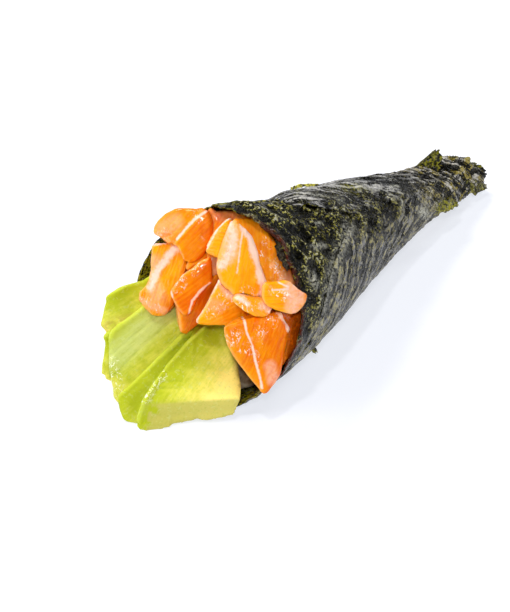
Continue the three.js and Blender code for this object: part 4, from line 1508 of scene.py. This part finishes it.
@dataclass(frozen=True)
class SalmonChunk:
    """One chunk of salmon over its solid.

    Attributes:
        node: The solid's name.
        facing: Its shown face.
        outline: Its shown face's outline on the face's own axes, open where it is hidden.
        bands: Bands of fat.
        pale: Pinkish patches; some are painted highlights.
        tone: From 0, deep orange, to 1, bright yellowish orange.
        wet: Patches of juice, with painted glints and a glossier coat.
        grain: Degrees that the fine muscle lines run at on the face.
        striped: How clearly they show, from 0 to 1.
        rimmed: How pale its edges are, part fat membrane and part painted highlight, from 0 to 1.
        painted_shade: How much of it is darkened with painted shade, from 0 to 1.
        cell: Size of its faces, in mm.
        rounding: How often its edges are smoothed, on top of once.
        swell: How far its faces stand off the solid, in mm.
        seed: Chooses how uneven it is.
    """

    node: str
    facing: Facing
    outline: Pairs = ()
    bands: tuple[Band, ...] = ()
    pale: tuple[Band, ...] = ()
    wet: tuple[Band, ...] = ()
    tone: float = 0.5
    grain: float = 60.0
    striped: float = 0.12
    rimmed: float = 0.32
    painted_shade: float = 0.0
    cell: float = 0.21
    rounding: int = 0
    swell: float = 0.22
    seed: int = 3

    def build(self, material: Material) -> Piece:
        """Builds the chunk with its fat and its uneven cut faces."""
        piece = copy_fitted(self.node, self.facing, self.outline, self.swell, self.cell, self.rounding)
        points, normals = read_points(piece), read_normals(piece)
        noise = LatticeNoise(self.seed)
        local = self.facing.local(points)
        flat = local[:, :2]
        fat, pale, groove, wet = (np.zeros(len(points)) for _ in range(4))
        wander = noise.layered(points, 3.0) * 0.3
        for patch in self.wet:
            wet = np.maximum(wet, patch.cover(flat, 0.4, wander))
        for patch in self.pale:
            pale = np.maximum(pale, patch.cover(flat, 0.3, wander))
        for band in self.bands:
            gap = line_distance(flat, band.line)
            near = hump(np.maximum(gap + wander * band.width, 0), band.width)
            fat = np.maximum(fat, near * band.strength)
            groove = np.maximum(groove, hump(gap, GROOVE))
        heading = math.radians(self.grain)
        across = flat[:, 1] * math.cos(heading) - flat[:, 0] * math.sin(heading) + 0.35 * local[:, 2]
        fibre = np.sin(across * 2 * math.pi / MUSCLE_LINE + wander)
        # painted shade and light by facing: faces that look to the shaded side get a deeper orange, faces
        # that look back a paler pink
        aside = normals @ SHADED_SIDE
        pale = np.maximum(pale, 0.35 * smoothstep(-aside, 0.3, 0.8))
        height = self.swell + noise.layered(points, 5.5) * 0.18 + noise.layered(points, 1.6) * 0.04
        height += 0.05 * fibre * self.striped - 0.08 * groove
        write_points(piece, points + normals * height[:, None])
        write_masks(piece, {
            "fat": fat, "pale": pale, "grain": across, "wet": wet, "rimmed": self.rimmed, "painted_shade": self.painted_shade,
            "tone": self.tone - SIDE_SHADE * aside, "striped": self.striped,
        })
        finish_piece(piece, material, Slot.SALMON, self.node)
        return piece


SALMON = (
    SalmonChunk("salmon_corner_chunk", Facing((-12.3, 1, 46.6), 29, 39),
                outline=((-5.5, -2.3), (-7.5, 0.2), (-8.8, 1.2), (-8.6, 2.3), (-7.4, 3.6), (-5.3, 4.8),
                         (-2.3, 6.2), (1.3, 7.2), (3.0, 7.0), (6.1, 6.3), (7.2, 4.2), (7.5, 1.9),
                         (7.2, -0.7), (6.4, -3.5), (5.6, -4.8)),
                tone=0.28, grain=50,
                bands=(Band(((5, 6.4), (2.2, 4), (0, 1.3), (-2.4, -1.9)), 0.5, 0.9),),
                pale=(Band(((-7, 1), (-3.4, 2.9)), 3.6, 0.4),),
                wet=(Band(((2, 3), (3, 5)), 1.8, 0.7), Band(((-7, 0), (-5, -1)), 2.0, 0.4))),
    SalmonChunk("salmon_fold", Facing((8.1, -1, 45.6), 39, 31),
                outline=((-2.1, 12.5), (0.1, 10.5), (1.7, 9.4), (3.3, 7.4), (4.8, 2.4), (5.7, -2.5),
                         (7.3, -6.4), (7.8, -7.8), (6.7, -9.4), (4.4, -10.5), (0.9, -9.8), (-2.1, -9.2),
                         (-3.2, -7.8), (-4.7, -5.0), (-5.8, -3.3), (-6.0, -1.6), (-4.6, 1.1)),
                tone=0.95, grain=78, striped=0.2,
                wet=(Band(((0.9, -7.6), (2.3, -8.2)), 1.8, 0.9), Band(((-3, 4), (-4, 1)), 1.6, 0.5)),
                bands=(Band(((-3.2, 11.5), (-1.7, 7.2), (-2.5, 2.9), (-5.1, -0.6)), 1.9, 0.7),
                       Band(((0.8, 9), (0.1, 5.5), (-0.6, 0.5), (-1.1, -2.8)), 0.35, 0.75),
                       Band(((0.8, 9.8), (2.9, 6.6), (3.9, 1.9), (5, -2.8), (6.4, -7.4)), 1.25, 1.0),
                       Band(((6.6, -7.4), (4.8, -9.2)), 1.1, 0.9)),
                # the second pale band is a painted highlight
                pale=(Band(((-2.5, 8), (-3, 2)), 3.2, 0.7), Band(((6.7, -7.2), (7.8, -7.8)), 1.8, 1.0))),
    SalmonChunk("salmon_fold_flap", Facing((-1.4, 1.4, 48.1), 12, 34),
                outline=((2.4, 7.1), (0.8, 6.2), (-0.9, 3.5), (-2.2, -1.3), (-3.2, -4.1), (-1.4, -4.5),
                         (1.6, -4.4)),
                tone=0.85, grain=8, striped=0.35,
                bands=(Band(((2, 7.1), (-0.6, 3.5), (-2.5, -2.8)), 0.4, 0.9),)),
    SalmonChunk("salmon_striped_chunk", Facing((-15.7, -6.9, 34.5), 15, 38),
                outline=((-5.0, 8.8), (2.1, 11.1), (4.1, 11.0), (5.4, 7.7), (6.8, 4.4), (6.4, 0.7),
                         (4.7, -6.1), (3.4, -8.3), (0.9, -9.3), (-1.2, -9.2), (-5.2, -7.4), (-5.8, -6.8),
                         (-4.2, -5.1), (-2.9, -2.3), (-3.1, 1.0), (-4.2, 4.3), (-5.0, 8.8)),
                tone=0.55, grain=84, striped=0.3,
                bands=(Band(((3.9, 10.7), (1.1, 6.8), (-0.9, 2.3), (-2.1, -3.3)), 1.4, 0.85),
                       Band(((-4.6, 8.8), (-0.6, 10.4), (3.6, 10.8)), 0.9, 0.7)),
                wet=(Band(((-3.5, -6.8), (0.5, -8.2)), 1.8, 0.7),),
                pale=(Band(((-2.4, 4), (-2.2, -2), (0.5, -5)), 3.4, 0.5),
                      Band(((-4, -7.4), (2.5, -8.6)), 1.6, 0.5))),
    SalmonChunk("salmon_leaf", Facing((-4.8, -6.4, 35.3), 39, 28),
                outline=((5.5, 8.3), (5.9, 4.9), (5.6, 1.0), (3.3, -0.6), (0.1, -3.8), (-1.0, -5.8),
                         (-1.7, -8.4), (-2.8, -7.7), (-4.6, -5.4), (-6.0, -2.5), (-6.2, -1.1),
                         (-4.7, 0.8), (-2.7, 3.5), (0.7, 5.7), (3.2, 7.8), (5.5, 8.3)),
                tone=0.25, grain=35, striped=0.06, rimmed=0.5,
                wet=(Band(((0.6, 4.3), (1.8, 5.6)), 1.8, 1.0), Band(((-2.5, 2.1), (-3.9, -0.6)), 1.8, 0.7)),
                bands=(Band(((-1.5, 4.3), (-4.7, 1.6), (-6, -0.6), (-5.4, -2.6)), 0.35, 0.85),
                       Band(((5, 1.1), (2.4, -0.8), (-0.1, -3.7), (-1.4, -8.1)), 0.4, 0.95))),
    SalmonChunk("salmon_low_wedge", Facing((6.4, -5.8, 33), 33, 20),
                outline=((-1.7, 8.6), (-2.2, 7.2), (-4.9, 1.4), (-8.5, -5.0), (-5.4, -5.8), (0.1, -5.6)),
                tone=0.75, grain=30, striped=0.25, rimmed=0.5,
                wet=(Band(((-4, -1), (0, 2.5)), 3.0, 0.9),),
                bands=(Band(((-1.9, 7.2), (-4.6, 3.1), (-8.3, -4.7)), 0.7, 0.95),),
                # the first pale band is a painted highlight
                pale=(Band(((-1.1, 7.2), (0, 5.5), (1.4, 3.6)), 2.0, 1.0),
                      Band(((-5, 1), (-2, 0)), 2.5, 0.4))),
    SalmonChunk("salmon_curl", Facing((16, -6, 36.9), 36, 17),
                outline=((-6.1, 2.1), (-4.2, 3.0), (-0.9, 2.1), (4.2, 0.6), (5.1, -0.7), (4.5, -2.2),
                         (2.9, -3.2), (1.3, -3.0), (-2.0, -1.3), (-4.8, 0.7), (-6.1, 2.1)),
                tone=0.85, grain=150, striped=0.15, rimmed=0.6,
                wet=(Band(((-4, 1), (3, -1)), 2.2, 1.0),),
                bands=(Band(((-4.6, 2.6), (-2.8, 1.8), (-1.4, 0.8)), 0.8, 0.75),),
                # this pale band is a painted highlight on the right rim
                pale=(Band(((2.3, 0.1), (4.0, 0.4), (4.0, -0.7)), 1.6, 1.0),)),
    SalmonChunk("salmon_pale_end", Facing((23.5, -1.9, 39.9), 42, 28),
                outline=((1.4, 3.3), (3.8, 2.7), (6.4, 0.6), (5.5, -1.3), (4.3, -2.9), (2.6, -4.1),
                         (0.8, -3.3), (-1.9, -2.2), (-3.8, -1.5)),
                tone=0.8, grain=0, striped=0.2,
                wet=(Band(((-3, 2.5), (0, 1)), 1.8, 0.8),),
                bands=(Band(((-3.3, 2.8), (1.1, 2.8)), 0.3, 0.8), Band(((-1.3, 4.6), (1.1, 3.4)), 0.3, 0.8)),
                pale=(Band(((1.8, 3.0), (2.6, 0.4), (2.0, -2.4)), 2.8, 1.0),
                      Band(((4.2, 1.0), (4.2, -0.4)), 2.0, 1.0))),
    SalmonChunk("salmon_kite", Facing((20.2, -7.4, 24.7), 45, 22),
                outline=((-10.3, 7.0), (-10.0, 7.6), (-7.5, 8.2), (-4.7, 9.2), (-0.2, 9.2), (4.8, 10.2),
                         (5.7, 10.4), (7.1, 6.8), (7.9, 4.8), (5.8, 2.7), (4.8, 0.3), (4.3, -3.1),
                         (4.6, -7.7), (2.9, -9.2), (0.1, -12.8), (-0.7, -12.3), (-2.7, -9.0),
                         (-6.5, -3.2), (-8.1, -1.3), (-10.0, 3.1), (-10.3, 7.0)),
                tone=0.4, grain=65, striped=0.1, rimmed=0.45,
                wet=(Band(((-7.1, 5.1), (-8.9, 3.8)), 2.4, 1.0), Band(((0.1, 6.4), (3.0, 8.3)), 2.6, 1.0),
                     Band(((-0.6, 3.0), (-5.5, 1)), 2.2, 0.9), Band(((-3, 0), (-2, -2)), 1.8, 0.6)),
                bands=(Band(((-4.6, 8.8), (-4.2, 5.6), (-2.9, 1.8), (-2.3, -2.7), (-1.4, -6.8),
                             (-0.8, -10.5)), 0.38, 0.95),
                       Band(((5, 10.4), (6.8, 7.4), (7.3, 4.9)), 0.8, 0.95)),
                pale=(Band(((1.8, -4.3), (2.3, -8.6)), 2.4, 0.7),)),
    SalmonChunk("salmon_right_slice", Facing((12.5, 6.1, 44.2), 52, 37), tone=0.6, grain=80,
                wet=(Band(((-0.2, 5.2), (1.0, 4.2)), 1.6, 1.0), Band(((-2.3, 3.0), (-2.0, 1.6)), 1.2, 0.8),
                     Band(((0.5, -0.5), (2.4, -4.4)), 2.2, 0.8)),
                pale=(Band(((4, -5), (5, -10)), 2.5, 0.5),)),
    SalmonChunk("salmon_pale_back", Facing((9.6, -3.5, 29.3), 36, 28), swell=0.5,
                pale=(Band(((-2, 0), (2, 0)), 6.0, 1.0),)),
    SalmonChunk("salmon_heart", Facing((-2.8, 2.4, 38.2), 42, 28), swell=0.5,
                pale=(Band(((-1, 0), (1, 0)), 4.0, 0.8),)),
    SalmonChunk("salmon_top_back", Facing((-5, 8.6, 47.5), 36, 42), tone=0.2, swell=0.7,
                pale=(Band(((-2, 4), (4, 1)), 3.0, 0.25),)),
    # a low tone: painted shade, as this chunk lies in shadow under the leaf
    SalmonChunk("salmon_under_leaf", Facing((-4.6, -5.1, 28.8), 50, 17), tone=0.2, swell=0.4),
    SalmonChunk("salmon_inner_left", Facing((-7.3, -0.2, 39.2), 29, 39), tone=0.5, swell=0.5),
    # painted shade: this chunk lies in shadow between the kite and the nori
    SalmonChunk("salmon_dark_edge", Facing((22.5, 1.6, 26.3), 63, 26), tone=0.15, painted_shade=0.45),
)


@dataclass(frozen=True)
class AvocadoSlice:
    """One slice of avocado over its solid.

    Attributes:
        node: The solid's name.
        facing: Its shown face.
        ridge: The line of the skin's side, on the face's own axes in mm.
        reach: How far from it the flesh is fully yellow, in mm.
        grooves: Knife marks.
        outline: The shown face's outline on its own axes, open where it is hidden.
        cut: A line past which the face falls away to the slice's cut end: a place on it and its heading.
        foot: How far the cut end's lower edge stands out, in mm, along the face's X axis.
        pale_band: A paler band's line and half width.
        bruised: A brownish line and half width.
        wet: Where juice beads, with painted glints: a line and half width.
        beside: The slice in front, whose ridge presses a crease into this one, with painted shade in it.
        cut_slope: How steeply the face falls away past the cut.
        lip: How far the ridge stands up, in mm.
        swell: How far the faces stand off the solid, in mm.
        cell: Size of the faces, in mm.
        rounding: How often the edges are smoothed, on top of once.
        seed: Chooses how uneven it is.
    """

    node: str
    facing: Facing
    ridge: Pairs
    reach: float
    outline: Pairs = ()
    grooves: tuple[Pairs, ...] = ()
    cut: tuple[float, float, float] | None = None
    foot: Pairs = ((0, 0),)
    pale_band: Band | None = None
    bruised: Band | None = None
    wet: Band | None = None
    beside: "AvocadoSlice | None" = None
    cut_slope: float = 0.62
    lip: float = 0.95
    swell: float = 0.14
    cell: float = 0.28
    rounding: int = 2
    seed: int = 11

    def spread(self, flat: np.ndarray, band: Band | None) -> np.ndarray | float:
        """How strongly a band covers each flat place, and 0 without one."""
        return band.cover(flat, 0.2) if band else 0.0

    def build(self, material: Material) -> Piece:
        """Builds the slice with its knife marks and its fading green."""
        piece = copy_fitted(self.node, self.facing, self.outline, self.swell, self.cell, self.rounding)
        points, normals = read_points(piece), read_normals(piece)
        noise = LatticeNoise(self.seed)
        local = self.facing.local(points)
        flat = local[:, :2]
        gap = line_distance(flat, self.ridge)
        run = np.array(self.ridge[-1], float) - np.array(self.ridge[0], float)
        run /= np.linalg.norm(run)
        length = flat @ run
        across = flat @ np.array([-run[1], run[0]])
        lines = np.stack([across, length * 0.12, gap * 0], axis=1)
        height = self.swell + noise.layered(points, 7.0) * 0.16 + noise.layered(points, 2.2) * 0.07
        height += (noise.layered(lines, 2.6) * 0.1) * smoothstep(local[:, 2], -2.0, -0.5)
        height += self.lip * hump(gap, 0.85) * smoothstep(local[:, 2], -1.5, 0.2)
        # the crease is a real dent, and the material also paints shade into it
        crease = np.zeros(len(points))
        for place in (self.beside.ridge_places() if self.beside else ()):
            crease = np.maximum(crease, hump(np.linalg.norm(points - place, axis=1), 1.3))
        height -= 0.35 * crease
        for line in self.grooves:
            height -= 0.22 * hump(line_distance(flat, line), GROOVE) * smoothstep(local[:, 2], -1.5, -0.3)
        shaped = points + normals * height[:, None]
        end = np.zeros(len(points))
        if self.cut:
            past = self.past_cut(local)
            end = smoothstep(past, 0.2, 1.0)
            lowered = past * self.cut_slope * smoothstep(local[:, 2], -4.6, 0.0)
            shaped -= lowered[:, None] * self.facing.axes()[2]
            low = (1 - smoothstep(shaped[:, 2], 0.0, 3.4)) * smoothstep(past, 0.5, 2.0)
            turn = math.radians(self.facing.turn)
            moved = along(self.foot, local[:, 0]) * low
            shaped += moved[:, None] * np.array([math.sin(turn), -math.cos(turn), 0.0])
        shaped[:, 2] = np.maximum(shaped[:, 2], TABLE_GAP)
        write_points(piece, shaped)
        write_masks(piece, {
            "across": across, "length": length, "depth": gap / self.reach, "crease": crease, "end": end,
            "pale_band": self.spread(flat, self.pale_band), "bruise": self.spread(flat, self.bruised),
            "wet": self.spread(flat, self.wet),
        })
        finish_piece(piece, material, Slot.AVOCADO, self.node)
        return piece

    def ridge_places(self) -> np.ndarray:
        """Close places along the ridge, on the roll's own axes."""
        corners = np.array(self.ridge, float)
        steps = np.linspace(0, len(corners) - 1, 90)
        flat = [np.interp(steps, np.arange(len(corners)), corners[:, k]) for k in (0, 1)]
        return self.facing.world(np.stack([*flat, np.full(len(steps), -0.4)], axis=1))

    def past_cut(self, local: np.ndarray) -> np.ndarray:
        """How far places on the face's axes lie past the cut's line, in mm."""
        x, y, heading = self.cut
        cos, sin = math.cos(math.radians(heading)), math.sin(math.radians(heading))
        return np.maximum(0, (local[:, 0] - x) * sin - (local[:, 1] - y) * cos)


SLICE_4 = AvocadoSlice(
    "avocado_slice_4", Facing((0.8, -15.4, 11.1), 33, 54),
    ((-14, -11.5), (-11.2, -4.8), (-7.6, 2.1), (-1.5, 9.9), (3.4, 15.6), (4.2, 18.5)), 21,
    grooves=(((-7.6, 2.4), (-4.4, 2.5), (-1.7, 2.5)), ((-8, -1), (-2, -0.6)), ((-8.5, -3), (-3, -2.8))),
    cut=(-11, -6.9, 6), bruised=Band(((8.7, 22.3), (12.7, 9.4), (13.9, 2.7), (14.6, -1.8)), 1.1, 0.75),
    foot=((-14.3, -0.6), (-13.4, 0.6), (-12.4, 1.2), (-11.8, 1.8), (-7.9, 1.8), (-5.4, 1.4), (-4.8, 0.1),
          (0, -0.3), (2.3, -1.0), (4.7, 0.9), (8.9, 0.4), (11.7, -1.9)),
    wet=Band(((-13.5, -8.7), (-11.6, -3.9), (-8.2, 1.5)), 2.6, 1.0))
SLICE_3 = AvocadoSlice(
    "avocado_slice_3", Facing((-7.3, -18.3, 8.7), 46, 40),
    ((-12.5, -2.4), (-6.4, 2.2), (1.1, 7.5), (7.7, 12.2), (12.5, 14.8), (17, 20)), 40,
    outline=((-12.9, -3.1), (-12.7, -4.7), (-11.7, -8.2), (-10.2, -10.6), (-8.3, -10.6)), beside=SLICE_4)
SLICE_2 = AvocadoSlice(
    "avocado_slice_2", Facing((-15.5, -13.2, 14.7), 42, 32),
    ((-11.2, 2.3), (-9.8, 5), (-1.3, 10.6), (14, 19)), 34,
    outline=((-7.8, 7.4), (-10.7, 4.4), (-11.4, -0.4), (-11.7, -4.6), (-11.5, -9.8), (-10.6, -13.6)),
    grooves=(((-10.5, -8), (-3.2, -1.1), (6.1, 6.1)), ((-11, -2), (-2, 5), (10, 13))),
    pale_band=Band(((-9, -2), (0, 6), (8, 12)), 6.5, 0.7), wet=Band(((-10.6, -4), (-9.6, -12)), 2.8, 0.9),
    beside=SLICE_3)
SLICE_UNDER = AvocadoSlice(
    "avocado_slice_under", Facing((-23, -17.1, 10.6), 40, 30), ((-4, 5.5), (1.5, 9)), 24,
    outline=((-2.5, 7.4), (-4.3, 5.6), (-4.1, 4.0), (-4.7, 0.9), (-5.6, -4.0), (-5.6, -5.3), (-3.8, -5.4)),
    beside=SLICE_2)
SLICE_1 = AvocadoSlice(
    "avocado_slice_1", Facing((-24.2, -7.9, 22.4), 40, 34),
    ((-8.3, 2.5), (-2.1, 5.5), (3.3, 7.3), (12, 11)), 16,
    outline=((-7.8, -6.5), (-10.5, -5.9), (-10.0, -3.2), (-8.2, 2.6), (-4.5, 5.1), (-0.3, 6.1), (3.1, 7.1)),
    bruised=Band(((-10, -5.5), (-6, -5), (0, -3), (6, -1)), 2.6, 0.4), beside=SLICE_2)
AVOCADO = (SLICE_4, SLICE_3, SLICE_2, SLICE_UNDER, SLICE_1)


@dataclass(frozen=True)
class Rice:
    """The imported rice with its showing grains."""

    node: str = "rice"
    cell: float = 0.5
    rounding: int = 3

    def build(self, material: Material) -> Piece:
        """Builds the rice over its solid."""
        piece = copy_solid(self.node, "rice_heap", self.cell, self.rounding)
        points, normals = read_points(piece), read_normals(piece)
        height = 0.35 - LatticeNoise(5).creased(points, 2.6, 1) * 0.7
        write_points(piece, points + normals * height[:, None])
        finish_piece(piece, material, Slot.RICE, self.node)
        return piece


# ---------------------------------------------------------------- stage


@dataclass(frozen=True)
class Lamp:
    """A square soft light that shines at the roll."""

    name: str
    at: Place
    size: float
    power: float
    colour: Place = (1.0, 1.0, 1.0)

    def build(self) -> None:
        """Adds the light."""
        bpy.ops.object.light_add(type="AREA", location=self.at)
        lamp = bpy.context.object
        lamp.name = self.name
        lamp.data.size = self.size
        lamp.data.energy = self.power
        lamp.data.color = self.colour
        lamp.rotation_euler = (-Vector(self.at)).to_track_quat("-Z", "Y").to_euler()


@dataclass(frozen=True)
class Stage:
    """The floor, the lights and the camera.

    Attributes:
        camera_at: The camera's place, in metres.
        right: Its sideways direction.
        up: Its upward direction.
        lens: Focal length in mm on a 36 mm sensor.
    """

    camera_at: Place = (0.27880, -0.41916, 0.33457)
    right: Place = (0.80933, 0.58736, 0.0)
    up: Place = (-0.32810, 0.45209, 0.82943)
    lens: float = 114.85
    floor_size: float = 4.0
    floor_tone: Colour = (0.42, 0.42, 0.44, 1)
    floor_glow: float = 0.68
    sky: float = 0.06
    lamps: tuple[Lamp, ...] = (
        Lamp("key_light", (-0.42, 0.12, 0.62), 0.24, 4.5, (1.0, 0.985, 0.96)),
        Lamp("front_fill", (-0.48, -0.72, 0.40), 0.45, 4.4, (1.0, 0.99, 0.98)),
        Lamp("right_fill", (0.78, -0.05, 0.42), 0.36, 2.8, (0.97, 0.985, 1.0)),
        Lamp("front_glint", (0.42, -0.62, 0.62), 0.06, 2.0),
        Lamp("top_glint", (0.12, -0.40, 0.80), 0.06, 1.8),
        Lamp("back_glint", (0.12, 0.75, 0.42), 0.14, 1.6, (0.93, 0.97, 1.0)),
    )

    def floor(self) -> None:
        """Adds the pale floor, which glows a little like a lit table."""
        deselect_all()
        bpy.ops.mesh.primitive_plane_add(size=self.floor_size, location=(0, 0, 0))
        floor = bpy.context.object
        floor.name = "studio_floor"
        material, graph, shader = new_material("studio_white")
        graph.fill(shader, {"Base Color": self.floor_tone, "Roughness": 0.85, "Specular IOR Level": 0.1,
                            "Emission Color": (0.9, 0.93, 1.0, 1), "Emission Strength": self.floor_glow})
        floor.data.materials.append(material)

    def lights(self) -> None:
        """Adds a white sky and the lamps."""
        world = bpy.data.worlds.new("studio_sky")
        world.use_nodes = True
        sky = world.node_tree.nodes["Background"]
        sky.inputs["Color"].default_value = (0.95, 0.97, 1.0, 1)
        sky.inputs["Strength"].default_value = self.sky
        bpy.context.scene.world = world
        for lamp in self.lamps:
            lamp.build()

    def camera(self) -> None:
        """Adds the camera and makes it the scene's."""
        right, up = Vector(self.right), Vector(self.up)
        back = right.cross(up)
        turned = Matrix((right, up, back)).transposed().to_4x4()
        data = bpy.data.cameras.new("view")
        data.lens = self.lens
        data.sensor_width = data.sensor_height = 36.0
        data.sensor_fit = "AUTO"
        camera = bpy.data.objects.new("view", data)
        camera.matrix_world = Matrix.Translation(self.camera_at) @ turned
        bpy.context.scene.collection.objects.link(camera)
        bpy.context.scene.camera = camera

    def build(self) -> None:
        """Sets the whole stage."""
        self.floor()
        self.lights()
        self.camera()
        bpy.context.scene.view_settings.view_transform = "Standard"


def main() -> None:
    """Builds every piece in order."""
    logging.basicConfig(level=logging.INFO, format="%(name)s %(message)s")
    effects = Effects()
    Stage().build()
    nori = NoriFinish().build(effects)
    # painted light: a brighter green stands for light shining through thin rags
    backlit_nori = NoriFinish("backlit_nori", fresh=(0.85, 0.78, 0.10, 1)).build(effects)
    for turn in TURNS:
        turn.build(nori)
    for scrap in SCRAPS:
        scrap.build(backlit_nori if scrap.fresh > 1 else nori)
    Rice().build(RiceFinish().build(effects))
    avocado = AvocadoFinish().build(effects)
    for cut_piece in AVOCADO:
        cut_piece.build(avocado)
    salmon = SalmonFinish().build(effects)
    for chunk in SALMON:
        chunk.build(salmon)


if __name__ == "__main__":
    main()
